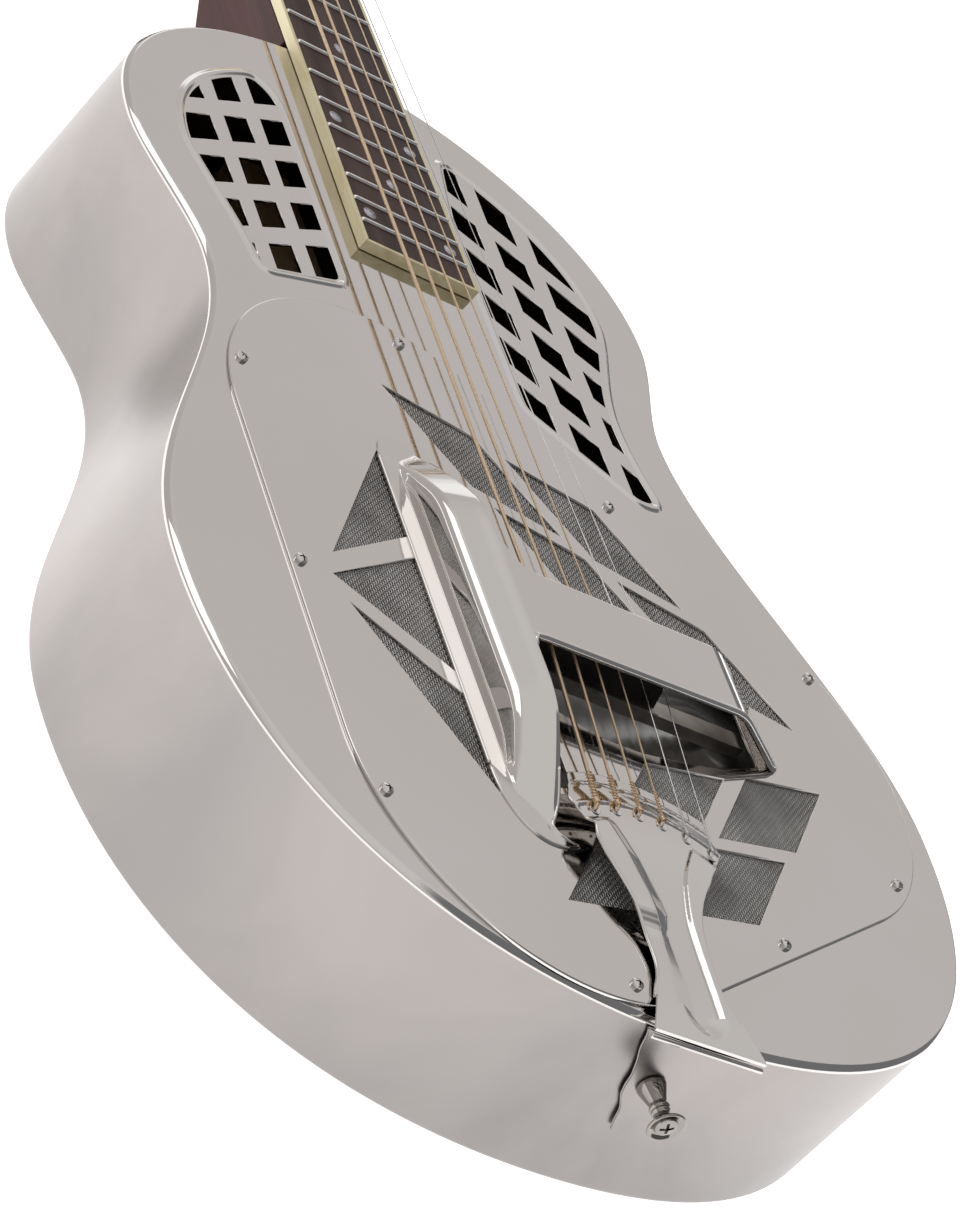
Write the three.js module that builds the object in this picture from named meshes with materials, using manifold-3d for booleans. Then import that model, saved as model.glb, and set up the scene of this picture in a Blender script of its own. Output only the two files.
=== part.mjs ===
// Tricone resonator guitar: metal body, three cones under a screened cover plate, square wooden neck.
// Millimetres, +Z up. The guitar lies on its flat back: x runs from the bass side to the treble side,
// y from the tail to the head, and the origin is on the back under the scale end of the strings.
import * as THREE from "three";
import { mergeVertices } from "three/addons/utils/BufferGeometryUtils.js";
import Module from "manifold-3d";

const wasm = await Module();
wasm.setup();

// ---- driving dimensions -------------------------------------------------------------------------
const DEPTH = 76.4; // body, back to top plate
const SHEET = 1.5; // body sheet
const GAP = 0.3; // clearance between neighbouring pieces
const SCALE = 635; // nut to saddle line
const FRETS = 19;
const BODY_TAIL = -166; // y of the tail end
const BODY_NECK = 321; // y of the neck end
const COVER_Y = -3.5; // the cover plate is symmetric about this line
const COVER_LEFT = -124;
const COVER_RADIUS = 84; // corner radius of the cover plate, 10 mm more than the cone seats
const COVER_APEX = 240.9; // x where the two slanted sides would meet
const COVER_SLOPE = 0.617; // fall of the slanted sides per mm of x
const CONE_RADIUS = 68.5;
const CONE_RISE = 16;
const WELL_FLOOR = DEPTH - 24;
const CONES = { cone_bass_front: [-40, 74], cone_bass_rear: [-40, -74], cone_treble: [79.3, 0] };
const BOARD_THICK = 4.7; // fretboard without frets
const BOARD_END = 198.8; // y of the fretboard's body end
const BOARD_NUT_WIDTH = 43;
const BOARD_END_WIDTH = 56;
const BINDING = 1.6;
const NUT_TOP = DEPTH + 12.2;
const SADDLE_TOP = DEPTH + 13.4;
const STRING_SPREAD_NUT = 35;
const STRING_SPREAD_SADDLE = 54;
const STRING_SHIFT = 4.5; // the strings cross the saddle this far to the treble side
const STRING_RADII = [0.71, 0.56, 0.43, 0.33, 0.22, 0.17];
const HEAD_ANGLE = THREE.MathUtils.degToRad(15);
const HEAD_START = 640; // y where the head leans back
const HEAD_LENGTH = 165;
const HEAD_THICK = 16;
const HEAD_HALF = 36;
const ROLLERS_AT = [56, 93, 130]; // along the head from its start
const ROLLER_DEPTH = -8; // below the head's face
const GEAR_TEETH = 14;
const GEAR_RADIUS = 6.2;
const WORM_RADIUS = 2.4;
const HINGE_Y = -169.4;
const HINGE_Z = DEPTH - 1.2;
const BUTTON_X = -4;
const BUTTON_Z = DEPTH - 23.5;
const BUTTON_LENGTH = 16.8;
const TAIL_FACE = -168.1; // y of the bracket's outer face
const REST_TOP = DEPTH + 20;
const STEM_SOUTH = -19.3;
const STEM_NORTH = 13.5;
const LIP_CENTRE = [0.8, -150]; // centre of the curved lip of the tailpiece
const HOLE_REACH = 71; // its string holes lie on this radius
const BEAD_REACH = 73.8; // the strings bend over it at this radius
const LIP_REACH = 87;

// ---- materials ----------------------------------------------------------------------------------
const finishes = {
  nickel: { color: 0xb8b2ac, roughness: 0.08, metalness: 1 },
  satin: { color: 0xb5b0aa, roughness: 0.32, metalness: 1 },
  screen: { color: 0x5b5a58, roughness: 0.5, metalness: 0.8 },
  aluminium: { color: 0xc4c6c8, roughness: 0.4, metalness: 1 },
  mahogany: { color: 0x5a3532, roughness: 0.4, metalness: 0 },
  rosewood: { color: 0x3c2b29, roughness: 0.55, metalness: 0 },
  cream: { color: 0xe2d7b0, roughness: 0.4, metalness: 0 },
  maple: { color: 0xc9a878, roughness: 0.5, metalness: 0 },
  ebony: { color: 0x1c1614, roughness: 0.5, metalness: 0 },
  bone: { color: 0xe6dfcb, roughness: 0.4, metalness: 0 },
  bronze: { color: 0xb98a5c, roughness: 0.3, metalness: 1 },
  steel: { color: 0xcfcfd0, roughness: 0.25, metalness: 1 },
  button: { color: 0xe8e0c4, roughness: 0.3, metalness: 0 },
};

const guitar = new THREE.Group();

// ---- solids -------------------------------------------------------------------------------------
function solid(geometry) {
  const bare = geometry.clone();
  for (const name of Object.keys(bare.attributes)) {
    if (name !== "position") bare.deleteAttribute(name);
  }
  const welded = mergeVertices(bare, 1e-4);
  const index = welded.index.array;
  const triVerts = new Uint32Array(index.length);
  let used = 0;
  for (let i = 0; i < index.length; i += 3) {
    if (index[i] === index[i + 1] || index[i + 1] === index[i + 2] || index[i] === index[i + 2]) continue;
    triVerts.set([index[i], index[i + 1], index[i + 2]], used);
    used += 3;
  }
  const vertProperties = new Float32Array(welded.attributes.position.array);
  return new wasm.Manifold(new wasm.Mesh({ numProp: 3, vertProperties, triVerts: triVerts.slice(0, used) }));
}

function geometryOf(body) {
  const mesh = body.getMesh();
  const geometry = new THREE.BufferGeometry();
  geometry.setAttribute("position", new THREE.BufferAttribute(new Float32Array(mesh.vertProperties), 3));
  geometry.setIndex(new THREE.BufferAttribute(new Uint32Array(mesh.triVerts), 1));
  return geometry;
}

function add(name, shape, finish, parent = guitar) {
  const geometry = shape instanceof THREE.BufferGeometry ? shape : geometryOf(shape);
  const mesh = new THREE.Mesh(geometry, new THREE.MeshStandardMaterial(finishes[finish]));
  mesh.name = name;
  parent.add(mesh);
  return mesh;
}

function joined(bodies) {
  return bodies.reduce((all, body) => all.add(body));
}

// A flat outline (list of [x, y]) raised from z0 to z1.
function prism(points, z0, z1) {
  const shape = new THREE.Shape(points.map(([x, y]) => new THREE.Vector2(x, y)));
  const geometry = new THREE.ExtrudeGeometry(shape, { depth: z1 - z0, bevelEnabled: false });
  return solid(geometry.translate(0, 0, z0));
}

// A side profile (list of [y, z]) stretched from x0 to x1.
function sideways(points, x0, x1) {
  const shape = new THREE.Shape(points.map(([y, z]) => new THREE.Vector2(y, z)));
  const geometry = new THREE.ExtrudeGeometry(shape, { depth: x1 - x0, bevelEnabled: false });
  geometry.applyMatrix4(new THREE.Matrix4().set(0, 0, 1, x0, 1, 0, 0, 0, 0, 1, 0, 0, 0, 0, 0, 1));
  return solid(geometry);
}

// A cross profile (list of [x, z]) stretched from y0 to y1.
function lengthways(points, y0, y1) {
  const shape = new THREE.Shape(points.map(([x, z]) => new THREE.Vector2(x, z)));
  const geometry = new THREE.ExtrudeGeometry(shape, { depth: y1 - y0, bevelEnabled: false });
  return solid(geometry.rotateX(Math.PI / 2).translate(0, y1, 0));
}

function block(x0, x1, y0, y1, z0, z1) {
  const geometry = new THREE.BoxGeometry(x1 - x0, y1 - y0, z1 - z0);
  return solid(geometry.translate((x0 + x1) / 2, (y0 + y1) / 2, (z0 + z1) / 2));
}

// A round bar along "x", "y" or "z", centred on a point.
function rod(radius, length, axis, [x, y, z], sides = 16) {
  const geometry = new THREE.CylinderGeometry(radius, radius, length, sides);
  if (axis === "x") geometry.rotateZ(Math.PI / 2);
  if (axis === "z") geometry.rotateX(Math.PI / 2);
  return solid(geometry.translate(x, y, z));
}

// A turned piece from [radius, height] pairs that start and end on the axis; the axis is z.
function turned(profile, sides = 24) {
  const half = profile.map(([r, h]) => new THREE.Vector2(r, h));
  return new THREE.LatheGeometry(half, sides).rotateX(Math.PI / 2);
}

function arc([cx, cy], radius, from, to, steps) {
  return Array.from({ length: steps + 1 }, (_, i) => {
    const angle = THREE.MathUtils.degToRad(from + ((to - from) * i) / steps);
    return [cx + radius * Math.cos(angle), cy + radius * Math.sin(angle)];
  });
}

// ---- outlines -----------------------------------------------------------------------------------
// Body outline, moved inwards by an inset: four smooth curves for the treble half, then the mirror.
function bodyOutline(inset) {
  const v = (x, y) => new THREE.Vector2(x, y);
  const curves = [
    new THREE.CubicBezierCurve(v(0, BODY_TAIL), v(115, BODY_TAIL), v(174, -106), v(174, -18)),
    new THREE.CubicBezierCurve(v(174, -18), v(174, 44), v(112.3, 101), v(112.3, 157)),
    new THREE.CubicBezierCurve(v(112.3, 157), v(112.3, 175), v(127.5, 202), v(127.5, 222)),
    new THREE.CubicBezierCurve(v(127.5, 222), v(127.5, 284), v(62, BODY_NECK), v(0, BODY_NECK)),
  ];
  const half = [];
  curves.forEach((curve, c) => {
    const steps = [11, 7, 4, 9][c];
    for (let i = 0; i < steps; i += 1) {
      const point = curve.getPoint(i / steps);
      const tangent = curve.getTangent(i / steps);
      half.push([point.x - tangent.y * inset, point.y + tangent.x * inset]);
    }
  });
  half.push([0, BODY_NECK - inset]);
  const mirror = half.slice(1, -1).reverse().map(([x, y]) => [-x, y]);
  return [...half, ...mirror];
}

// Rounded triangle of the cover plate, moved inwards by an inset.
function coverOutline(inset) {
  const radius = COVER_RADIUS - inset;
  const lean = THREE.MathUtils.radToDeg(Math.atan(COVER_SLOPE));
  const cornerX = COVER_LEFT + COVER_RADIUS;
  const cornerY = 74;
  const endX = COVER_APEX - COVER_RADIUS / Math.sin(THREE.MathUtils.degToRad(lean));
  return [
    ...arc([endX, COVER_Y], radius, lean - 90, 90 - lean, 10),
    ...arc([cornerX, COVER_Y + cornerY], radius, 90 - lean, 180, 10),
    ...arc([cornerX, COVER_Y - cornerY], radius, 180, 270 + lean, 10),
  ];
}

// ---- body ---------------------------------------------------------------------------------------
// Openings of one sound grille: slanted windows between upright bars, trimmed by a rounded panel.
function grille(columns, rows, pitch, height, tilt, first, panel) {
  const windows = [];
  for (const [x0, x1] of columns) {
    for (let row = 0; row < rows; row += 1) {
      const top = first - pitch * row;
      const upper = row === 0 ? 30 : 0;
      const lower = row === rows - 1 ? 14 : 0;
      const at = (x, y) => [x, y + tilt * x];
      windows.push(prism([at(x0, top - height - lower), at(x1, top - height - lower),
        at(x1, top + upper), at(x0, top + upper)], DEPTH - 9, DEPTH + 9));
    }
  }
  return joined(windows)
    .intersect(prism(bodyOutline(27), DEPTH - 5, DEPTH + 5))
    .intersect(prism(panel, DEPTH - 4, DEPTH + 4));
}

function bassGrille() {
  const panel = [[-110, 152], [-45, 172.5], ...arc([-59, 270], 14, 0, 90, 5), [-110, 284]];
  return grille([[-110, -85.2], [-77.9, -65.1], [-57.7, -44.9]], 5, 23.8, 14.7, 0.476, 307.8, panel);
}

function trebleGrille() {
  const panel = [[36.9, 144], [84, 116.5], [92, 118], [110, 150], [110, 300], [46, 300],
    ...arc([46.9, 276], 10, 110, 180, 3)];
  return grille([[36.9, 49.9], [58.4, 71.8], [81, 110]], 6, 25.7, 15.4, -0.53, 306.2, panel);
}

function makeBody() {
  const top = prism(bodyOutline(0), DEPTH - SHEET, DEPTH)
    .subtract(prism(coverOutline(15), DEPTH - 5, DEPTH + 5))
    .subtract(bassGrille())
    .subtract(trebleGrille());
  add("body_top", top, "nickel");
  const sides = prism(bodyOutline(0), SHEET + GAP, DEPTH - SHEET - GAP)
    .subtract(prism(bodyOutline(SHEET), 0, DEPTH));
  add("body_sides", sides, "satin");
  add("body_back", prism(bodyOutline(0), 0, SHEET), "satin");
  add("neck_stick", block(-14, 14, -160, 315, 4, 26), "maple");
}

// ---- resonator ----------------------------------------------------------------------------------
// The well hangs under the top: a rim that follows the cover plate and a floor with three cone seats.
function makeSoundwell() {
  let well = prism(coverOutline(12.5), WELL_FLOOR, DEPTH - SHEET - GAP)
    .subtract(prism(coverOutline(13.7), WELL_FLOOR + 1.2, DEPTH));
  for (const [x, y] of Object.values(CONES)) {
    well = well.subtract(rod(CONE_RADIUS - 5, 20, "z", [x, y + COVER_Y, WELL_FLOOR], 20));
  }
  add("soundwell", well, "satin");
}

function makeCones() {
  const seat = WELL_FLOOR + 1.2 + GAP;
  const profile = [
    [0, CONE_RISE], [9, CONE_RISE], [50, 5.6], [62, 1.2], [CONE_RADIUS, 0.9],
    [CONE_RADIUS, 0], [61.6, 0.2], [49.6, 4.6], [8.8, CONE_RISE - 1], [0, CONE_RISE - 1],
  ].reverse();
  for (const [name, [x, y]] of Object.entries(CONES)) {
    const cone = add(name, turned(profile, 20), "aluminium");
    cone.position.set(x, y + COVER_Y, seat);
  }
}

function makeBridge() {
  const bottom = WELL_FLOOR + 1.2 + GAP + CONE_RISE + GAP;
  const bar = block(-44, -36, COVER_Y - 80, COVER_Y + 80, bottom, bottom + 5);
  const stem = block(-40, 86, COVER_Y - 4, COVER_Y + 4, bottom, bottom + 5);
  const web = lengthways([[-36, bottom + 4], [44, bottom + 4], [44, DEPTH - 1], [-36, DEPTH - 1]],
    COVER_Y - 3.5, COVER_Y + 3.5);
  add("t_bridge", joined([bar, stem, web]), "aluminium");
  const blade = lengthways([[-34, DEPTH - 1 + GAP], [42, DEPTH - 1 + GAP], [37, SADDLE_TOP], [-27, SADDLE_TOP]],
    COVER_Y - 1.6, COVER_Y + 1.6);
  add("saddle", blade, "ebony");
}

// Screened windows of the cover plate: leaning cells either side of the middle line and three
// triangles on the bass side.
function coverWindows(z0, z1) {
  const windows = [];
  for (const side of [1, -1]) {
    for (const [i, j] of [[0, 0], [1, 0], [0, 1], [1, 1]]) {
      const x = -45 + 54.5 * i + 37.9 * j;
      const y = 120 - 13.3 * i - 45.6 * j;
      const cell = [[x, y], [x + 41, y - 7.8], [x + 70.7, y - 46.2], [x + 29.7, y - 38.4]];
      windows.push(prism(cell.map(([a, b]) => [a, side * b + COVER_Y]).reverse(), z0, z1));
    }
    const wing = [[-60, 80], [-60, 37], [-101.7, 11.5]];
    windows.push(prism(wing.map(([a, b]) => [a, side * b + COVER_Y]), z0, z1));
  }
  windows.push(prism([[-105.3, COVER_Y], [-60, COVER_Y - 27], [-60, COVER_Y + 27]], z0, z1));
  return joined(windows);
}

// T-shaped opening under the hand rest, where the bridge comes through.
function bridgeOpening(z0, z1) {
  const bar = prism([[-50, -74], [-22, -68], [-20, 60], [-50, 74]], z0, z1);
  const stem = prism([[-22, -28], [4, -35], [23, -34.8], [43, -31.5], [65, -26.8], [86, -18], [86, 13], [-22, 13]],
    z0, z1);
  return bar.add(stem);
}

const SCREW_SPOTS = [[-115, 99], [-27, 149.5], [60, 104.5], [141, 50.3]];

function screwSpots() {
  const spots = SCREW_SPOTS.flatMap(([x, y]) => [[x, COVER_Y + y], [x, COVER_Y - y]]);
  return [...spots, [-119.3, COVER_Y]];
}

function makeCoverplate() {
  const base = DEPTH + GAP;
  let plate = prism(coverOutline(0), base, base + 1)
    .subtract(coverWindows(base - 4, base + 4))
    .subtract(bridgeOpening(base - 5, base + 5));
  for (const [x, y] of screwSpots()) plate = plate.subtract(rod(1.5, 9, "z", [x, y, base], 8));
  add("coverplate", plate, "nickel");
  const screen = prism(coverOutline(17), DEPTH - 0.8, DEPTH)
    .subtract(bridgeOpening(DEPTH - 5, DEPTH + 5));
  add("coverplate_screen", screen, "screen");
}

// Small pan-head screws: the shank goes through the plate's hole and stops above the body.
function makeCoverScrews() {
  screwSpots().forEach(([x, y], i) => {
    const head = DEPTH + GAP + 1 + GAP;
    const profile = [[0, -1.2], [1.1, -1.2], [1.1, 0], [2.6, 0], [2.2, 1.1], [0, 1.6]];
    const screw = add(`cover_screw_${i + 1}`, turned(profile, 8), "nickel");
    screw.position.set(x, y, head);
  });
}

// Hand rest: a bar along the bass side with a steep outer wall and a sloping roof, and a raised stem over
// the saddle. The same planes, moved inwards, give the hollow under the sheet.
function handRestBody(wall) {
  const floor = DEPTH + 1 + 2 * GAP - (wall > 0 ? 5 : 0);
  const up = (height) => DEPTH + height - wall;
  const west = -60.5 + wall;
  const east = -37.4 - wall;
  const foot = [[west, 74 - wall], [west, -79 + wall], [-57.5 + wall, -88 + wall], [-52, -95.5 + wall],
    [-45.5, -98.9 + wall], [-38, -99 + wall], [-32 - wall, -97 + wall], [east - 0.6, -91], [east, -82],
    [east, 42], [east - 1, 60], [-39.6 - wall, 74 - wall], [-44, 83 - wall], [-54, 84.6 - wall]];
  const cross = [[west, floor], [east, floor], [east, up(20)], [-39.9, up(20)], [-51.8 + wall, up(13.2)],
    [-53 + wall, up(2.4)], [west, up(2.4)]];
  const fall = [[96, 2.4], [84.5, 2.6], [78.6, 4.6], [71, 8.4], [59.5, 13.4], [51, 16.8], [42, 20]];
  const along = [[COVER_Y - 96, floor], [COVER_Y + 96, floor],
    ...fall.map(([reach, height]) => [COVER_Y + reach, up(height)]),
    ...fall.slice().reverse().map(([reach, height]) => [COVER_Y - reach, up(height)])];
  const bar = prism(foot, floor, DEPTH + 30)
    .intersect(lengthways(cross, -110, 110))
    .intersect(sideways(along, -70, 0));
  const stemCross = [[-42, floor], [97 - wall, floor], [97 - wall, up(2.4)], [64 - wall / 2, up(20)],
    [-39.9, up(20)], [-42, up(18.8)]];
  const stem = lengthways(stemCross, STEM_SOUTH - wall * 4, STEM_NORTH + wall * 4);
  return bar.add(stem);
}

function makeHandRest() {
  const shell = handRestBody(0).subtract(handRestBody(1.3));
  const lipPath = new THREE.LineCurve3(new THREE.Vector3(-38, STEM_SOUTH, REST_TOP - 0.7),
    new THREE.Vector3(62, STEM_SOUTH, REST_TOP - 0.7));
  const ring = new THREE.Shape().absarc(0, 0, 1.3, 0, 2 * Math.PI);
  const lip = solid(new THREE.ExtrudeGeometry(ring, { steps: 1, curveSegments: 6, extrudePath: lipPath }));
  add("bridge_cover", shell.add(lip), "nickel");
}

// ---- tailpiece ----------------------------------------------------------------------------------
// Pressed plate: wide at the string lip, narrow in the middle, wide again at the hinge.
const TAIL_SIDES = [
  // y, left x, right x
  [-171.5, -26.6, 22.6], [-163, -23.6, 18.2], [-157, -21.4, 15.6], [-151, -18.8, 13], [-141, -15.6, 10.9],
  [-134, -15.9, 10.9], [-126, -17, 11.2], [-119, -19.4, 12.2], [-111, -23, 15], [-104, -26.4, 18.8],
  [-99, -28.4, 22.4], [-90.5, -28.3, 28.2], [-87, -29.6, 30.8], [-84, -33, 32.6], [-81, -34.2, 33.2],
  [-77, -32.4, 32.4], [-73, -30.9, 32.2]];

function tailOutline() {
  const right = TAIL_SIDES.map(([y, , x]) => [x, y]);
  const left = TAIL_SIDES.map(([y, x]) => [x, y]);
  return [...right, ...arc(LIP_CENTRE, LIP_REACH, 69.5, 110.5, 9), ...left.reverse()];
}

// The pressed channel between the two raised flanges, closed at the hinge and open to the lip.
function tailChannel() {
  const left = [[-6, -164], [-9.6, -156], [-9.6, -125], [-11.6, -114], [-17.2, -98.5], [-27, -84]];
  const right = [[3, -164], [8.6, -156], [7.3, -126], [9.7, -106], [14.4, -92.8], [19.5, -84]];
  return [...right, [22, -78], [-30, -78], ...left.reverse()];
}

function makeTailpiece() {
  const rise = [[-173, -0.4], [-168.4, 1.3], [-163, 2.6], [-150, 3.1], [-135, 3.8], [-118, 4.6], [-104, 5.7], [-90, 7.4],
    [-84, 8.3], [-76, 8.8], [-62, 8.8]];
  const layer = (low, high) => {
    const lowest = [[-173, -2], [-168.4, GAP + 0.1]];
    const under = rise.map(([y, z], i) => [y, DEPTH + Math.max(z + low, lowest[i]?.[1] ?? 1.7)]);
    const over = rise.map(([y, z]) => [y, DEPTH + z + high]).reverse();
    return sideways([...under, ...over], -42, 42);
  };
  const outline = prism(tailOutline(), DEPTH - 20, DEPTH + 20);
  const sheet = outline.intersect(layer(-1.4, 0));
  const disc = (reach) => prism(arc(LIP_CENTRE, reach, 0, 360, 32).slice(0, 32), DEPTH - 30, DEPTH + 30);
  const flanges = outline.intersect(layer(-0.4, 2.3))
    .intersect(disc(HOLE_REACH - 3))
    .subtract(prism(tailChannel(), DEPTH - 30, DEPTH + 30));
  const lip = outline
    .subtract(disc(LIP_REACH - 2.6))
    .intersect(sideways([[-79, DEPTH + 6], [-62, DEPTH + 5], [-62, DEPTH + 8.6], [-79, DEPTH + 8.6]], -42, 42));
  const knuckle = rod(2.6, 31, "x", [0, HINGE_Y, HINGE_Z], 10);
  let plate = sheet.add(flanges);
  for (const x of [-21.1, 21.1]) {
    plate = plate.subtract(rod(2.6 + GAP + 0.1, 10, "x", [x, HINGE_Y, HINGE_Z], 10));
  }
  plate = joined([plate, lip, knuckle])
    .subtract(rod(1.5 + GAP, 60, "x", [0, HINGE_Y, HINGE_Z], 10));
  for (let i = 0; i < 6; i += 1) {
    const [x, y] = tailHole(i);
    plate = plate.subtract(rod(1.7, 30, "z", [x, y, DEPTH], 8));
  }
  add("tailpiece", plate, "nickel");
}

// Hole of string i in the tailpiece, behind the curved lip.
function tailHole(i) {
  const x = 2.3 + 10.6 * (i - 2.5);
  return [x, LIP_CENTRE[1] + Math.sqrt(HOLE_REACH ** 2 - x * x)];
}

// The hanger follows the tail of the body down to the strap button.
function makeTailBracket() {
  const outer = bodyOutline(-1.7);
  const strip = prism(outer, DEPTH - 47, DEPTH - 2)
    .subtract(prism(bodyOutline(-0.4), DEPTH - 60, DEPTH + 5))
    .subtract(block(-250, 250, -150, 400, 0, 200));
  const widths = [[-4.5, 21], [-10.8, 18.6], [-16.7, 15], [-22.4, 12.2], [-27, 11], [-31, 9.2], [-36.5, 4.6],
    [-43, 2]];
  const face = [[-25, -2], ...widths.map(([depth, half]) => [-1 - half, depth]), [-1, -46],
    ...widths.slice().reverse().map(([depth, half]) => [half - 1, depth]), [25, -2],
    [16.5, -2], [16.5, -4.8], [-16.5, -4.8], [-16.5, -2]];
  const mask = lengthways(face.map(([x, z]) => [x, DEPTH + z]), -190, -150);
  let bracket = strip.intersect(mask);
  for (const side of [1, -1]) {
    const arm = block(16.5, 25, HINGE_Y - 1, -165.2, DEPTH - 5, HINGE_Z - 0.6)
      .add(rod(2.6, 8.5, "x", [20.75, HINGE_Y, HINGE_Z], 10))
      .subtract(prism(bodyOutline(-0.4), 0, DEPTH + 10));
    const flip = side > 0 ? arm : arm.mirror([1, 0, 0]);
    bracket = bracket.add(flip);
  }
  bracket = bracket
    .subtract(rod(1.5 + GAP, 60, "x", [0, HINGE_Y, HINGE_Z], 10))
    .subtract(rod(2.2, 30, "y", [BUTTON_X, -170, BUTTON_Z], 12));
  add("tailpiece_bracket", bracket, "nickel");
  add("tailpiece_hinge_pin", rod(1.5, 51, "x", [0, HINGE_Y, HINGE_Z], 12), "nickel");
}

function makeStrapButton() {
  const profile = [[0, 0], [5, 0], [5, 0.9], [3.6, 5.2], [2.8, 8], [3.5, 9], [2.8, 11.4], [4.3, 14.4], [6.6, 16],
    [6.2, BUTTON_LENGTH], [0, BUTTON_LENGTH]];
  const button = add("strap_button", turned(profile, 16), "nickel");
  button.rotation.x = Math.PI / 2;
  button.position.set(BUTTON_X, TAIL_FACE, BUTTON_Z);
  const head = [[0, 0], [3.4, 0], [3.2, 0.8], [2.2, 1.5], [0, 1.5]];
  const screw = add("strap_button_screw", turned(head, 10), "steel");
  screw.rotation.x = Math.PI / 2;
  screw.position.set(BUTTON_X, TAIL_FACE - BUTTON_LENGTH - GAP, BUTTON_Z);
}

// ---- neck ---------------------------------------------------------------------------------------
function fretAt(n) {
  return SCALE * 2 ** (-n / 12);
}

function boardHalf(y) {
  return (BOARD_NUT_WIDTH + ((SCALE - y) / (SCALE - BOARD_END)) * (BOARD_END_WIDTH - BOARD_NUT_WIDTH)) / 2;
}

function makeFretboard() {
  const inner = BINDING + GAP;
  const end = BOARD_END + inner;
  const z0 = DEPTH + GAP;
  const half = (y) => boardHalf(y) - inner;
  const pieces = [prism([[-half(end), end], [half(end), end], [half(SCALE), SCALE], [-half(SCALE), SCALE]],
    z0, z0 + BOARD_THICK)];
  for (let n = 1; n <= FRETS; n += 1) {
    const y = fretAt(n);
    const crown = [[y - 1.2, z0 + 4], [y + 1.2, z0 + 4], [y + 0.9, z0 + BOARD_THICK + 0.7],
      [y + 0.3, z0 + BOARD_THICK + 1], [y - 0.3, z0 + BOARD_THICK + 1], [y - 0.9, z0 + BOARD_THICK + 0.7]];
    pieces.push(sideways(crown, -half(y) + 0.05, half(y) - 0.05));
  }
  add("fretboard", joined(pieces), "rosewood");
  const rim = prism([[-boardHalf(BOARD_END), BOARD_END], [boardHalf(BOARD_END), BOARD_END],
    [boardHalf(SCALE), SCALE], [-boardHalf(SCALE), SCALE]], z0, z0 + BOARD_THICK);
  const hole = prism([[-boardHalf(BOARD_END) + BINDING, BOARD_END + BINDING],
    [boardHalf(BOARD_END) - BINDING, BOARD_END + BINDING],
    [boardHalf(SCALE + 9) - BINDING, SCALE + 9], [-boardHalf(SCALE + 9) + BINDING, SCALE + 9]], 0, DEPTH + 20);
  add("fretboard_binding", rim.subtract(hole), "cream");
}

// The head's own frame: x across, y along the head from its start, z up from its face.
const head = new THREE.Group();
head.position.set(0, HEAD_START, DEPTH);
head.rotation.x = -HEAD_ANGLE;
guitar.add(head);
head.updateMatrix();

function inHead(body) {
  return solid(geometryOf(body).applyMatrix4(head.matrix));
}

function headSlot(side, z0, z1) {
  const ends = [...arc([16, 28], 8, 180, 360, 4), ...arc([16, 146], 8, 0, 180, 4)];
  const outline = ends.map(([x, y]) => [side * x, y]);
  return prism(side > 0 ? outline : outline.reverse(), z0, z1);
}

function makeNeck() {
  const profile = [[BODY_NECK + 0.5, DEPTH], [BODY_NECK + 0.5, DEPTH - 67], [328, DEPTH - 65], [340, DEPTH - 59.5],
    [352, DEPTH - 52], [365, DEPTH - 44], [377, DEPTH - 37.5], [388, DEPTH - 31.5], [399, DEPTH - 27.5],
    [412, DEPTH - 25.5], [430, DEPTH - 25], [662, DEPTH - 23]];
  const back = (s) => [HEAD_START + s * Math.cos(HEAD_ANGLE) - HEAD_THICK * Math.sin(HEAD_ANGLE),
    DEPTH - s * Math.sin(HEAD_ANGLE) - HEAD_THICK * Math.cos(HEAD_ANGLE)];
  const face = (s) => [HEAD_START + s * Math.cos(HEAD_ANGLE), DEPTH - s * Math.sin(HEAD_ANGLE)];
  profile.push(back(34), back(HEAD_LENGTH), face(HEAD_LENGTH), [HEAD_START, DEPTH]);
  const tip = HEAD_START + HEAD_LENGTH * Math.cos(HEAD_ANGLE) + 5;
  const half = [[26.2, BODY_NECK], [boardHalf(SCALE), SCALE + 6], [23, 651], [27, 657], [33, 661], [HEAD_HALF, 667],
    [HEAD_HALF, tip - 14], [30, tip - 8], [14, tip - 7.2], [6, tip - 9.5]];
  const plan = [...half, ...half.slice().reverse().map(([x, y]) => [-x, y])];
  let neck = sideways(profile, -45, 45).intersect(prism(plan, 0, 2 * DEPTH));
  for (const side of [1, -1]) {
    neck = neck.subtract(inHead(headSlot(side, -HEAD_THICK - 5, 5)));
    for (const y of ROLLERS_AT) {
      neck = neck.subtract(inHead(rod(3 + GAP, 40, "x", [side * 22.5, y, ROLLER_DEPTH], 8)));
    }
  }
  add("neck", neck, "mahogany");
  add("nut", block(-boardHalf(SCALE), boardHalf(SCALE), SCALE + GAP, HEAD_START, DEPTH + GAP, NUT_TOP), "bone");
}

function makeHeadplate() {
  const half = [[25, 19], [HEAD_HALF - 1, 29], [HEAD_HALF - 1, HEAD_LENGTH - 11], [29, HEAD_LENGTH - 5],
    [14, HEAD_LENGTH - 4.4], [6, HEAD_LENGTH - 6.6]];
  const outline = [[20.5, 4], ...half, ...half.slice().reverse().map(([x, y]) => [-x, y]), [-20.5, 4]];
  let plate = prism(outline, GAP, 1.5);
  for (const side of [1, -1]) plate = plate.subtract(headSlot(side, -5, 5));
  add("headplate", plate, "rosewood", head);
}

// ---- tuners -------------------------------------------------------------------------------------
const LEAD = (2 * Math.PI * GEAR_RADIUS) / GEAR_TEETH;
const WORM_OFFSET = GEAR_RADIUS + WORM_RADIUS + 0.1; // along the head, from the gear to the worm
const WORM_CORE = 1.8;
const WORM_SHAFT = 1.5;
const THREAD_HEIGHT = 1.45;
const THREAD_END = 4.5; // the thread runs out this far from the middle of the worm
const WORM_SIDES = 8;
const GEAR_X = HEAD_HALF + 5.3; // middle of the gear across the head

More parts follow.
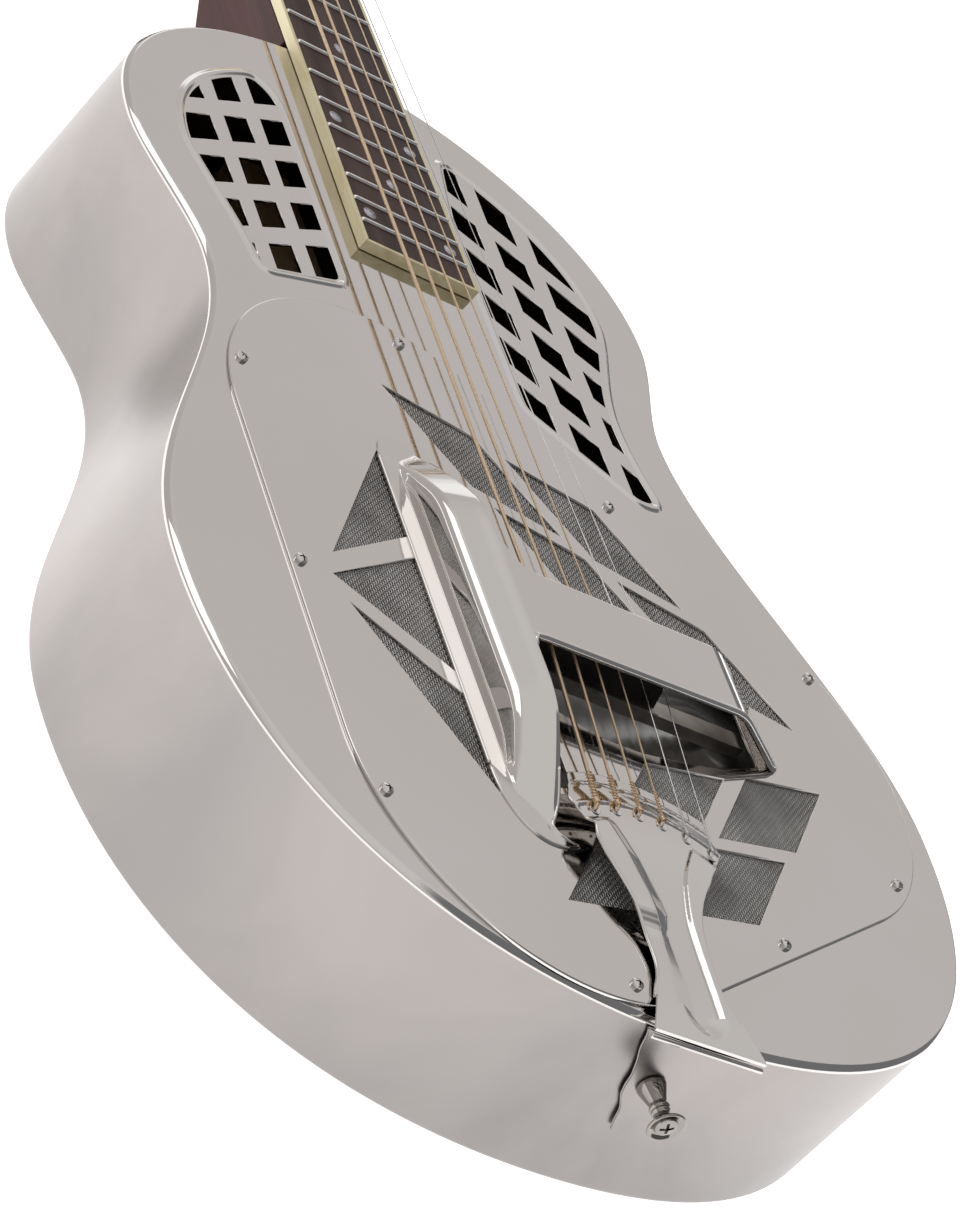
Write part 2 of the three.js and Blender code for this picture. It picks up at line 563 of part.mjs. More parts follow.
function toothedGear(side) {
  const outline = [];
  for (let tooth = 0; tooth < GEAR_TEETH; tooth += 1) {
    for (const [offset, radius] of [[-0.31, GEAR_RADIUS - 0.85], [-0.13, GEAR_RADIUS + 0.65],
      [0.13, GEAR_RADIUS + 0.65], [0.31, GEAR_RADIUS - 0.85]]) {
      const angle = (2 * Math.PI * (tooth + offset)) / GEAR_TEETH;
      outline.push([radius * Math.cos(angle), radius * Math.sin(angle)]);
    }
  }
  const shape = new THREE.Shape(outline.map(([a, b]) => new THREE.Vector2(a, b)));
  const wheel = new THREE.ExtrudeGeometry(shape, { depth: 2.4, bevelEnabled: false });
  const x = side * GEAR_X;
  wheel.applyMatrix4(new THREE.Matrix4().set(0, 0, 1, x - 1.2, 1, 0, 0, 0, 0, 1, 0, 0, 0, 0, 0, 1));
  const shaft = rod(3, GEAR_X - 3, "x", [(side * (GEAR_X + 3)) / 2, 0, 0], 8);
  const cap = rod(2.2, 1.6, "x", [side * (GEAR_X + 1.8), 0, 0], 8);
  return joined([solid(wheel), shaft, cap]);
}

// Radius of the worm at an angle and height: a right-handed thread whose gap faces angle 0 at mid height.
function wormRadius(angle, z) {
  const turn = z / LEAD - angle / (2 * Math.PI) + 0.5;
  const fromCrest = Math.abs(turn - Math.round(turn)) * LEAD;
  const flank = THREE.MathUtils.clamp((0.6 - fromCrest) / 0.32, 0, 1);
  const runout = THREE.MathUtils.clamp((THREAD_END - Math.abs(z)) / 0.9, 0, 1);
  return WORM_CORE + THREAD_HEIGHT * Math.min(flank, runout);
}

// The worm stands across the head's thickness, with its shaft running back to the button.
function worm() {
  const rings = [[-23, () => WORM_SHAFT], [-5, () => WORM_SHAFT]];
  const pitch = LEAD / WORM_SIDES;
  const count = Math.ceil(THREAD_END / pitch);
  for (let k = -count; k <= count; k += 1) rings.push([k * pitch, (angle) => wormRadius(angle, k * pitch)]);
  rings.push([5, () => WORM_SHAFT], [7.4, () => WORM_SHAFT]);
  const points = [0, 0, rings[0][0]];
  for (const [z, radiusAt] of rings) {
    for (let side = 0; side < WORM_SIDES; side += 1) {
      const angle = (2 * Math.PI * side) / WORM_SIDES;
      points.push(radiusAt(angle) * Math.cos(angle), radiusAt(angle) * Math.sin(angle), z);
    }
  }
  points.push(0, 0, rings[rings.length - 1][0]);
  const last = points.length / 3 - 1;
  const faces = [];
  for (let side = 0; side < WORM_SIDES; side += 1) {
    const next = (side + 1) % WORM_SIDES;
    const top = last - WORM_SIDES;
    faces.push(0, 1 + next, 1 + side, last, top + side, top + next);
    for (let ring = 0; ring < rings.length - 1; ring += 1) {
      const low = 1 + ring * WORM_SIDES;
      const high = low + WORM_SIDES;
      faces.push(low + side, low + next, high + next, low + side, high + next, high + side);
    }
  }
  const geometry = new THREE.BufferGeometry();
  geometry.setAttribute("position", new THREE.Float32BufferAttribute(points, 3));
  geometry.setIndex(faces);
  return geometry;
}

function makeTuners(side, label, first) {
  const strip = [[0, 34], [0, 150]].flatMap(([x, y], i) => arc([ROLLER_DEPTH, y], 7.9, i * 180 + 180, i * 180 + 360, 4));
  const flat = strip.map(([z, y]) => [y, z]);
  let plate = sideways(flat, side > 0 ? HEAD_HALF + GAP : -HEAD_HALF - GAP - 1.2,
    side > 0 ? HEAD_HALF + GAP + 1.2 : -HEAD_HALF - GAP);
  ROLLERS_AT.forEach((y) => {
    const wormY = y - WORM_OFFSET;
    const x = side * GEAR_X;
    for (const z of [ROLLER_DEPTH + 6.5, ROLLER_DEPTH - 6.5]) {
      const low = Math.min(x + side * 2.6, side * (HEAD_HALF + 0.6));
      const high = Math.max(x + side * 2.6, side * (HEAD_HALF + 0.6));
      plate = plate.add(block(low, high, wormY - 3, wormY + 3, z - 1.2, z + 1.2));
    }
    plate = plate.subtract(rod(1.5 + GAP, 40, "z", [x, wormY, ROLLER_DEPTH], 8));
    plate = plate.subtract(rod(3 + GAP, 20, "x", [side * HEAD_HALF, y, ROLLER_DEPTH], 8));
  });
  add(`tuner_plate_${label}`, plate, "nickel", head);
  ROLLERS_AT.forEach((y, i) => {
    const number = first + i;
    const gear = add(`tuner_roller_${number}`, toothedGear(side), "steel", head);
    gear.position.set(0, y, ROLLER_DEPTH);
    const screw = add(`tuner_worm_${number}`, worm(), "nickel", head);
    screw.position.set(side * GEAR_X, y - WORM_OFFSET, ROLLER_DEPTH);
    screw.rotation.z = Math.PI / 2;
    const knobProfile = [[0, -12], [2.8, -12], [5.8, -9.3], [6.3, -4.5], [2.6, 0], [0, 0]];
    const knob = turned(knobProfile, 12).scale(1, 1.45, 1);
    const button = add(`tuner_button_${number}`, knob, "button", head);
    button.position.set(side * GEAR_X, y - WORM_OFFSET, ROLLER_DEPTH - 23 - GAP);
  });
}

// ---- strings ------------------------------------------------------------------------------------
// A curve that visits exactly its own corner points.
class Route extends THREE.Curve {
  constructor(points) {
    super();
    this.points = points;
  }

  getPoint(t) {
    const place = t * (this.points.length - 1);
    const i = Math.min(Math.floor(place), this.points.length - 2);
    return this.points[i].clone().lerp(this.points[i + 1], place - i);
  }

  getPointAt(t) {
    return this.getPoint(t);
  }

  getSpacedPoints() {
    return this.points;
  }

  getTangentAt(t) {
    const i = Math.round(t * (this.points.length - 1));
    const before = this.points[Math.max(i - 1, 0)];
    const here = this.points[i];
    const after = this.points[Math.min(i + 1, this.points.length - 1)];
    const incoming = here.clone().sub(before).normalize();
    const outgoing = after.clone().sub(here).normalize();
    return incoming.add(outgoing).normalize();
  }
}

function makeString(i) {
  const radius = STRING_RADII[i];
  const [holeX, holeY] = tailHole(i);
  const share = i / 5 - 0.5;
  const nutX = STRING_SPREAD_NUT * share;
  const saddleX = STRING_SPREAD_SADDLE * share + STRING_SHIFT;
  const lipY = LIP_CENTRE[1] + Math.sqrt(BEAD_REACH ** 2 - holeX * holeX);
  const points = [
    new THREE.Vector3(holeX, holeY, DEPTH + 5.6),
    new THREE.Vector3(holeX, holeY, DEPTH + 9.4),
    new THREE.Vector3(holeX, holeY + 1, DEPTH + 9.9 + radius),
    new THREE.Vector3(holeX, lipY - 0.6, DEPTH + 9.6 + radius),
    new THREE.Vector3(saddleX, COVER_Y, SADDLE_TOP + GAP + radius),
    new THREE.Vector3(nutX, HEAD_START + 0.4, NUT_TOP + GAP + radius),
  ];
  const side = i < 3 ? -1 : 1;
  const rank = i < 3 ? i : 5 - i;
  const coil = 3 + GAP + radius;
  const rollerX = side * (20 - 3.4 * rank);
  for (let k = 0; k <= 13; k += 1) {
    const angle = Math.PI / 2 + 0.3 - (k * 2 * Math.PI) / 10;
    const local = new THREE.Vector3(rollerX - side * ((2 * radius + 0.35) * k) / 10,
      ROLLERS_AT[rank] + coil * Math.cos(angle), ROLLER_DEPTH + coil * Math.sin(angle));
    points.push(local.applyMatrix4(head.matrix));
  }
  const section = new THREE.Shape().absarc(0, 0, radius, 0, 2 * Math.PI);
  const geometry = new THREE.ExtrudeGeometry(section,
    { steps: points.length - 1, curveSegments: 3, extrudePath: new Route(points) });
  add(`string_${6 - i}`, solid(geometry), i < 4 ? "bronze" : "steel");
}

makeBody();
makeSoundwell();
makeCones();
makeBridge();
makeCoverplate();
makeCoverScrews();
makeHandRest();
makeTailpiece();
makeTailBracket();
makeStrapButton();
makeFretboard();
makeNeck();
makeHeadplate();
makeTuners(-1, "bass", 1);
makeTuners(1, "treble", 4);
for (let i = 0; i < 6; i += 1) makeString(i);

export default guitar;
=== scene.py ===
# Tricone resonator guitar: polished nickel body, screened cover plate, hand rest, square wooden neck.
# Shapes are worked out in millimetres in the row frame and scaled to metres when a mesh is made.
import math
import bmesh
import bpy
from mathutils import Matrix, Vector, geometry, noise


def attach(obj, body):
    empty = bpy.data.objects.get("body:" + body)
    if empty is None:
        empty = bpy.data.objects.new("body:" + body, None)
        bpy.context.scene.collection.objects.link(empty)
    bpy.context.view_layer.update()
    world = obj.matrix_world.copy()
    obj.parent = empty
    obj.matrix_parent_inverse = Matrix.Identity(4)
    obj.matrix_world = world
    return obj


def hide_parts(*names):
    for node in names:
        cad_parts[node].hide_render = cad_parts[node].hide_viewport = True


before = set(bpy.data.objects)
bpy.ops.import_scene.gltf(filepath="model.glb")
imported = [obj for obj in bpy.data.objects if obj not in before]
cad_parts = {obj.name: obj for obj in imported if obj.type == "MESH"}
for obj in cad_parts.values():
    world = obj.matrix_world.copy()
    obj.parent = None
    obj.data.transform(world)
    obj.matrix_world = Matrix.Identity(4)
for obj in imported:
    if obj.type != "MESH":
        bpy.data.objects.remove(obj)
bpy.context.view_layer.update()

MM = 0.001

# ---- driving dimensions, the same as the frame's -----------------------------------------------
DEPTH = 76.4  # body, back to top plate
SCALE = 635.0  # nut to saddle line
FRETS = 19
BODY_TAIL = -166.0
BODY_NECK = 321.0
RIM = 2.1  # width of the rolled edge of the top plate
RIM_DROP = 2.8  # the top plate's rolled edge ends this far down the sides
RIM_STEP = 0.3  # the sides stand this far inside the rolled edge
COVER_Y = -3.5
COVER_LEFT = -124.0
COVER_RADIUS = 84.0
COVER_APEX = 240.9
COVER_SLOPE = 0.617
COVER_TOP = DEPTH + 1.3
CONES = {"cone_bass_front": (-40, 74), "cone_bass_rear": (-40, -74), "cone_treble": (79.3, 0)}
CONE_SEAT = DEPTH - 22.5
BOARD_BASE = DEPTH + 0.3
BOARD_TOP = DEPTH + 5.0
BOARD_END = 198.8
BOARD_NUT_WIDTH = 43.0
BOARD_END_WIDTH = 56.0
BINDING = 1.6
NUT_TOP = DEPTH + 12.2
SADDLE_TOP = DEPTH + 13.4
STRING_RADII = (0.71, 0.56, 0.43, 0.33, 0.22, 0.17)
STRING_SHIFT = 4.5
SPREAD_NUT = 35.0
SPREAD_SADDLE = 54.0
HEAD_ANGLE = math.radians(15)
HEAD_START = 640.0
HEAD_LENGTH = 165.0
HEAD_THICK = 16.0
HEAD_HALF = 36.0
ROLLERS_AT = (56.0, 93.0, 130.0)
ROLLER_DEPTH = -8.0
GEAR_TEETH = 14
GEAR_RADIUS = 6.2
WORM_RADIUS = 2.4
WORM_OFFSET = GEAR_RADIUS + WORM_RADIUS + 0.1
GEAR_X = HEAD_HALF + 5.3
LEAD = 2 * math.pi * GEAR_RADIUS / GEAR_TEETH
HINGE_Y = -169.4
HINGE_Z = DEPTH - 1.2
HINGE_SPAN = (-26.6, 22.6)
HINGE_RADIUS = 0.95
BUTTON_X = -4.0
BUTTON_FOOT = -167.9  # y where it stands on the bracket
BUTTON_Z = DEPTH - 23.5
WIRE_PITCH = 1.25
WIRE_RADIUS = 0.2

# ---- camera -------------------------------------------------------------------------------------
CAMERA_AT = (-933.3, -951.8, 725.95)  # the view was fitted to the photo
CAMERA_HEADING = 43.135  # degrees from +Y towards +X
CAMERA_DIP = 26.241
CAMERA_ROLL = 44.499
CAMERA_LENS = 128.38  # on a 36 mm sensor


def make_camera():
    heading, dip, roll = (math.radians(v) for v in (CAMERA_HEADING, CAMERA_DIP, CAMERA_ROLL))
    forward = Vector((math.sin(heading) * math.cos(dip), math.cos(heading) * math.cos(dip),
                      -math.sin(dip)))
    level = forward.cross(Vector((0, 0, 1))).normalized()
    upright = level.cross(forward)
    right = level * math.cos(roll) + upright * math.sin(roll)
    up = right.cross(forward)
    data = bpy.data.cameras.new("camera")
    data.lens = CAMERA_LENS
    data.sensor_width = 36
    data.clip_end = 100
    camera = bpy.data.objects.new("camera", data)
    turn = Matrix((right, up, -forward)).transposed().to_4x4()
    camera.matrix_world = Matrix.Translation(Vector(CAMERA_AT) * MM) @ turn
    bpy.context.scene.collection.objects.link(camera)
    bpy.context.scene.camera = camera


# ---- materials ----------------------------------------------------------------------------------
def new_material(name, color, metallic, roughness, **sockets):
    material = bpy.data.materials.new(name)
    material.use_nodes = True
    shader = material.node_tree.nodes["Principled BSDF"]
    shader.inputs["Base Color"].default_value = (*color, 1)
    shader.inputs["Metallic"].default_value = metallic
    shader.inputs["Roughness"].default_value = roughness
    for socket, value in sockets.items():
        shader.inputs[socket.replace("_", " ")].default_value = value
    return material


def node(material, kind, **inputs):
    made = material.node_tree.nodes.new(kind)
    for socket, value in inputs.items():
        made.inputs[socket.replace("_", " ")].default_value = value
    return made


def link(material, source, output, target, socket):
    material.node_tree.links.new(source.outputs[output], target.inputs[socket])


def placed(material, scale=(1, 1, 1)):
    coordinates = node(material, "ShaderNodeTexCoord")
    mapping = node(material, "ShaderNodeMapping", Scale=scale)
    link(material, coordinates, "Object", mapping, "Vector")
    return mapping


def noise_node(material, scale, detail=4.0, stretch=(1, 1, 1), distortion=0.0):
    texture = node(material, "ShaderNodeTexNoise", Scale=scale, Detail=detail, Distortion=distortion)
    link(material, placed(material, stretch), "Vector", texture, "Vector")
    return texture


def ramp(material, source, output, stops):
    made = node(material, "ShaderNodeValToRGB")
    while len(made.color_ramp.elements) < len(stops):
        made.color_ramp.elements.new(0.5)
    for element, (position, color) in zip(made.color_ramp.elements, stops):
        element.position = position
        element.color = (*color, 1) if len(color) == 3 else color
    link(material, source, output, made, "Fac")
    return made


def vary_roughness(material, source, low, high):
    spread = node(material, "ShaderNodeMapRange", To_Min=low, To_Max=high)
    link(material, source, "Fac", spread, "Value")
    link(material, spread, "Result", material.node_tree.nodes["Principled BSDF"], "Roughness")


def vary_color(material, source, stops, output="Fac"):
    made = ramp(material, source, output, stops)
    link(material, made, "Color", material.node_tree.nodes["Principled BSDF"], "Base Color")
    return made


def bump(material, source, output, strength, distance):
    made = node(material, "ShaderNodeBump", Strength=strength, Distance=distance)
    link(material, source, output, made, "Height")
    shader = material.node_tree.nodes["Principled BSDF"]
    previous = shader.inputs["Normal"].links
    if previous:
        material.node_tree.links.new(previous[0].from_socket, made.inputs["Normal"])
    link(material, made, "Normal", shader, "Normal")


def grey(level, warm=0.02):
    return (level + warm, level, level - warm)


def polished_nickel(name="polished_nickel", level=0.66, wave=0.02):
    material = new_material(name, grey(level), 1.0, 0.05)
    smudge = noise_node(material, 38, 6, distortion=0.4)
    vary_roughness(material, smudge, 0.02, 0.085)
    haze = noise_node(material, 7, 3)
    vary_color(material, haze, [(0.3, grey(level - 0.02, 0.024)), (0.7, grey(level + 0.02, 0.012))])
    swell = noise_node(material, 26, 2)
    bump(material, swell, "Fac", wave, 0.004)
    return material


def satin_nickel():
    material = new_material("satin_nickel", grey(0.37), 1.0, 0.3, Anisotropic=0.25)
    cloud = noise_node(material, 16, 7, distortion=0.6)
    vary_roughness(material, cloud, 0.24, 0.36)
    stain = noise_node(material, 9, 5, distortion=0.8)
    vary_color(material, stain,
               [(0.25, (0.3, 0.285, 0.278)), (0.5, (0.37, 0.345, 0.337)), (0.75, (0.42, 0.38, 0.37))])
    grain = noise_node(material, 500, 3, (1, 1, 0.15))
    bump(material, grain, "Fac", 0.05, 0.0004)
    dents = noise_node(material, 17, 2)
    bump(material, dents, "Fac", 0.05, 0.004)
    return material


def screen_wire():
    material = new_material("screen_wire", grey(0.42), 1.0, 0.34)
    tarnish = noise_node(material, 60, 5)
    vary_color(material, tarnish, [(0.3, grey(0.42, 0.012)), (0.7, grey(0.72, 0.012))])
    fine = noise_node(material, 2500, 2)
    vary_roughness(material, fine, 0.25, 0.45)
    return material


def spun_aluminium():
    material = new_material("spun_aluminium", (0.55, 0.55, 0.55), 1.0, 0.38)
    patch = noise_node(material, 40, 5)
    vary_color(material, patch, [(0.3, (0.42, 0.41, 0.4)), (0.7, (0.6, 0.6, 0.59))])
    lathe_lines = noise_node(material, 900, 2, (1, 1, 0.1))
    bump(material, lathe_lines, "Fac", 0.12, 0.0003)
    return material


def cast_aluminium():
    material = new_material("cast_aluminium", (0.5, 0.48, 0.45), 1.0, 0.42)
    patch = noise_node(material, 120, 6)
    vary_color(material, patch, [(0.3, (0.36, 0.33, 0.3)), (0.7, (0.56, 0.53, 0.49))])
    sand = noise_node(material, 1800, 3)
    bump(material, sand, "Fac", 0.25, 0.0002)
    return material


def inner_metal():
    # Near-black base colours: painted shade for the closed inside of the body, spread into uneven dark
    # patches by the noise.
    material = new_material("inner_metal", (0.2, 0.17, 0.15), 1.0, 0.35)
    dark_patches = noise_node(material, 22, 6, distortion=1.2)
    vary_color(material, dark_patches,
               [(0.3, (0.045, 0.034, 0.03)), (0.55, (0.13, 0.1, 0.085)), (0.75, (0.26, 0.22, 0.19))])
    vary_roughness(material, noise_node(material, 50, 4), 0.25, 0.5)
    return material


def wood(name, dark, mid, light, along=(1, 0.06, 1), pore=0.35, gloss=0.42):
    material = new_material(name, mid, 0.0, gloss, Coat_Weight=0.02, Coat_Roughness=0.25)
    material.node_tree.nodes["Principled BSDF"].inputs["Specular IOR Level"].default_value = 0.3
    figure = noise_node(material, 70, 8, along, 1.2)
    vary_color(material, figure, [(0.28, dark), (0.5, mid), (0.72, light)])
    pores = noise_node(material, 900, 3, along)
    bump(material, pores, "Fac", pore, 0.0003)
    vary_roughness(material, noise_node(material, 160, 4, along), gloss - 0.08, gloss + 0.14)
    return material


def celluloid(name, low, high, roughness=0.32):
    material = new_material(name, high, 0.0, roughness, Coat_Weight=0.2, Coat_Roughness=0.2)
    material.node_tree.nodes["Principled BSDF"].inputs["Subsurface Weight"].default_value = 0.08
    radius = material.node_tree.nodes["Principled BSDF"].inputs["Subsurface Radius"]
    radius.default_value = (0.002, 0.0014, 0.0008)
    grain = noise_node(material, 130, 7, (1, 0.22, 1), 0.6)
    vary_color(material, grain, [(0.3, low), (0.7, high)])
    vary_roughness(material, noise_node(material, 260, 4), roughness - 0.08, roughness + 0.14)
    bump(material, noise_node(material, 700, 3, (1, 0.3, 1)), "Fac", 0.06, 0.0003)
    return material


def pearl():
    material = new_material("pearl", (0.5, 0.48, 0.56), 0.0, 0.18, Coat_Weight=0.6, Coat_Roughness=0.05)
    cloud = noise_node(material, 420, 4, distortion=1.6)
    vary_color(material, cloud,
               [(0.3, (0.34, 0.34, 0.42)), (0.5, (0.56, 0.55, 0.64)), (0.7, (0.74, 0.72, 0.76))])
    return material


def wound_wire(name="bronze_winding", turn=0.42):
    material = new_material(name, (0.72, 0.5, 0.32), 1.0, 0.3)
    lines = node(material, "ShaderNodeTexWave", Scale=math.pi / 10 / (turn * MM), Distortion=0.0)
    lines.bands_direction = "Y"
    link(material, placed(material), "Vector", lines, "Vector")
    # The dark stop colours the grooves between the turns: painted shade in the grooves, on top of the
    # bumped relief.
    vary_color(material, lines,
               [(0.05, (0.5, 0.33, 0.19)), (0.4, (0.88, 0.65, 0.42)), (1.0, (0.98, 0.8, 0.58))])
    bump(material, lines, "Fac", 0.5, 0.0002)
    vary_roughness(material, noise_node(material, 90, 3), 0.22, 0.4)
    return material


def plain_steel(name="plain_steel", level=0.72):
    material = new_material(name, (level, level, level + 0.01), 1.0, 0.16)
    vary_roughness(material, noise_node(material, 300, 3, (1, 0.1, 1)), 0.1, 0.26)
    tint = noise_node(material, 60, 3)
    vary_color(material, tint, [(0.3, grey(level - 0.06, 0.01)), (0.7, grey(level, 0.0))])
    return material


# ---- mesh building ------------------------------------------------------------------------------
def encloses(loop, x, y):
    """Whether a closed loop has the point inside it."""
    inside = False
    for (ax, ay), (bx, by) in zip(loop, loop[1:] + loop[:1]):
        if (ay > y) != (by > y) and x < ax + (bx - ax) * (y - ay) / (by - ay):
            inside = not inside
    return inside


def triangulated(loops, spare=(), tolerance=1e-5):
    """Points and triangles of the area between closed loops; a loop inside another is a hole."""
    points = []
    edges = []
    for loop in loops:
        start = len(points)
        points.extend(Vector(p[:2]) for p in loop)
        edges.extend((start + i, start + (i + 1) % len(loop)) for i in range(len(loop)))
    points.extend(spare)
    places, _, faces, *_ = geometry.delaunay_2d_cdt(points, edges, [], 1, tolerance)
    spans = [([p[:2] for p in loop], min(p[0] for p in loop), max(p[0] for p in loop),
              min(p[1] for p in loop), max(p[1] for p in loop)) for loop in loops]
    kept = []
    for corners in faces:
        x = sum(places[i][0] for i in corners) / 3
        y = sum(places[i][1] for i in corners) / 3
        around = [loop for loop, x0, x1, y0, y1 in spans
                  if x0 < x < x1 and y0 < y < y1 and encloses(loop, x, y)]
        if len(around) % 2 == 1:
            a, b, c = (places[i] for i in corners)
            kept.append(corners if (b - a).cross(c - a) > 0 else list(reversed(corners)))
    return places, kept


class Build:
    """Points in millimetres and faces of one piece, with a smooth or flat mark for each face."""

    def __init__(self):
        self.points = []
        self.faces = []
        self.smooth = []
        self.normals = {}

    def ring(self, points):
        start = len(self.points)
        self.points.extend(tuple(p) for p in points)
        return list(range(start, start + len(points)))

    def face(self, corners, smooth=False):
        self.faces.append(tuple(corners))
        self.smooth.append(smooth)

    def strip(self, first, second, closed=True, smooth=True):
        count = len(first)
        for i in range(count if closed else count - 1):
            j = (i + 1) % count
            self.face((first[i], first[j], second[j], second[i]), smooth)

    def rings(self, loops, closed=True, smooth=True):
        made = [self.ring(loop) for loop in loops]
        for first, second in zip(made, made[1:]):
            self.strip(first, second, closed, smooth)
        return made

    def cap(self, ring, flip=False):
        self.face(reversed(ring) if flip else ring)

    def tube(self, path, radius, sides=10, squash=1.0, caps=True):
        path = [Vector(p) for p in path]
        radii = radius if isinstance(radius, (list, tuple)) else [radius] * len(path)
        side = None
        loops = []
        for i, point in enumerate(path):
            along = (path[min(i + 1, len(path) - 1)] - path[max(i - 1, 0)]).normalized()
            if side is None:
                helper = Vector((0, 0, 1)) if abs(along.z) < 0.9 else Vector((1, 0, 0))
                side = along.cross(helper).normalized()
            side = (side - along * side.dot(along)).normalized()
            other = along.cross(side)
            turns = [2 * math.pi * k / sides for k in range(sides)]
            loops.append([point + side * math.cos(a) * radii[i]
                          + other * math.sin(a) * radii[i] * squash
                          for a in turns])
        made = self.rings(loops)
        if caps:
            self.cap(made[0], True)
            self.cap(made[-1])

    def turned(self, profile, place, sides=40):
        """A turned piece from (radius, height) pairs; place puts its own z axis in the frame."""
        loops = []
        for r, h in profile:
            loops.append([place @ Vector((r * math.cos(2 * math.pi * k / sides),
                                          r * math.sin(2 * math.pi * k / sides), h))
                          for k in range(sides)])
        made = self.rings(loops)
        self.cap(made[0], True)
        self.cap(made[-1])

    def box(self, low, high, place=Matrix.Identity(4)):
        corners = [place @ Vector((x, y, z)) for z in (low[2], high[2])
                   for x, y in ((low[0], low[1]), (high[0], low[1]), (high[0], high[1]),
                                (low[0], high[1]))]
        a = self.ring(corners)
        self.face((a[3], a[2], a[1], a[0]))
        self.face((a[4], a[5], a[6], a[7]))
        for i in range(4):
            j = (i + 1) % 4
            self.face((a[i], a[j], a[4 + j], a[4 + i]))

    def flat(self, outer, holes, height):
        """A flat face at one height with holes in it."""
        places, faces = triangulated([outer, *holes])
        made = self.ring([(p[0], p[1], height) for p in places])
        for corners in faces:
            self.face([made[i] for i in corners])


def make_piece(name, build, material, stands_for=(), body="guitar", recalculate=True):
    mesh = bpy.data.meshes.new(name)
    mesh.from_pydata([(x * MM, y * MM, z * MM) for x, y, z in build.points], [], build.faces)
    mesh.polygons.foreach_set("use_smooth", build.smooth)
    mesh.materials.append(material)
    if recalculate:
        work = bmesh.new()
        work.from_mesh(mesh)
        bmesh.ops.recalc_face_normals(work, faces=work.faces)
        work.to_mesh(mesh)
        work.free()
    if build.normals:
        wanted = [build.normals.get(i, (0, 0, 0)) for i in range(len(build.points))]
        mesh.normals_split_custom_set_from_vertices(wanted)
    mesh.update()
    piece = bpy.data.objects.new(name, mesh)
    bpy.context.scene.collection.objects.link(piece)
    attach(piece, body)
    if stands_for:
        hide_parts(*stands_for)
    return piece


def bevel(piece, width, segments=3, angle=35):
    rounding = piece.modifiers.new("soft_edges", "BEVEL")
    rounding.width = width * MM
    rounding.segments = segments
    rounding.limit_method = "ANGLE"
    rounding.angle_limit = math.radians(angle)
    rounding.harden_normals = True


# ---- plane outlines -----------------------------------------------------------------------------
def arc(centre, radius, start, end, steps):
    angles = [math.radians(start + (end - start) * i / steps) for i in range(steps + 1)]
    return [(centre[0] + radius * math.cos(a), centre[1] + radius * math.sin(a)) for a in angles]


def bezier(a, b, c, d, t):
    s = 1 - t
    place = [s ** 3 * a[k] + 3 * s * s * t * b[k] + 3 * s * t * t * c[k] + t ** 3 * d[k]
             for k in (0, 1)]
    slope = [s * s * (b[k] - a[k]) + 2 * s * t * (c[k] - b[k]) + t * t * (d[k] - c[k]) for k in (0, 1)]
    return place, slope


BODY_CURVES = (
    ((0, BODY_TAIL), (115, BODY_TAIL), (174, -106), (174, -18), 46),
    ((174, -18), (174, 44), (112.3, 101), (112.3, 157), 30),
    ((112.3, 157), (112.3, 175), (127.5, 202), (127.5, 222), 20),
    ((127.5, 222), (127.5, 284), (62, BODY_NECK), (0, BODY_NECK), 40),
)


def body_outline(inset=0.0):
    half = []
    for a, b, c, d, steps in BODY_CURVES:
        for i in range(steps):
            (x, y), (dx, dy) = bezier(a, b, c, d, i / steps)
            size = math.hypot(dx, dy)
            half.append((x - dy / size * inset, y + dx / size * inset))
    half.append((0, BODY_NECK - inset))
    return half + [(-x, y) for x, y in reversed(half[1:-1])]


def cover_outline(inset=0.0):
    lean = math.degrees(math.atan(COVER_SLOPE))
    corner_x = COVER_LEFT + COVER_RADIUS
    end_x = COVER_APEX - COVER_RADIUS / math.sin(math.radians(lean))
    radius = COVER_RADIUS - inset
    return (arc((end_x, COVER_Y), radius, lean - 90, 90 - lean, 36)
            + arc((corner_x, COVER_Y + 74), radius, 90 - lean, 180, 36)
            + arc((corner_x, COVER_Y - 74), radius, 180, 270 + lean, 36))


def clipped(loop, cutter):
    """The part of a loop inside a convex cutter, both anticlockwise."""
    for i in range(len(cutter)):
        a, b = cutter[i], cutter[(i + 1) % len(cutter)]
        inside = [(b[0] - a[0]) * (p[1] - a[1]) - (b[1] - a[1]) * (p[0] - a[0]) for p in loop]
        kept = []
        for k in range(len(loop)):
            p, q = loop[k], loop[(k + 1) % len(loop)]
            u, v = inside[k], inside[(k + 1) % len(loop)]
            if u >= 0:
                kept.append(p)
            if u * v < 0:
                t = u / (u - v)
                kept.append((p[0] + (q[0] - p[0]) * t, p[1] + (q[1] - p[1]) * t))
        loop = kept
        if not loop:
            return []
    return loop


def spaced(loop, step, closed=True):
    """The same line with points at an even spacing."""
    ends = [Vector(p) for p in loop] + ([Vector(loop[0])] if closed else [])
    lengths = [(b - a).length for a, b in zip(ends, ends[1:])]
    count = max(int(sum(lengths) / step), 3)
    made = []
    k = 0
    passed = 0.0
    for i in range(count if closed else count + 1):
        want = sum(lengths) * i / count
        while k < len(lengths) - 1 and passed + lengths[k] < want:
            passed += lengths[k]
            k += 1
        t = (want - passed) / lengths[k] if lengths[k] else 0
        made.append(tuple(ends[k].lerp(ends[k + 1], min(t, 1.0))))
    return made


def softened(loop, step, rounds):
    """Even points with the corners rounded by averaging neighbours."""
    points = spaced(loop, step)
    for _ in range(rounds):
        count = len(points)
        points = [tuple((points[i - 1][k] + 2 * points[i][k] + points[(i + 1) % count][k]) / 4
                        for k in (0, 1))
                  for i in range(count)]
    return points


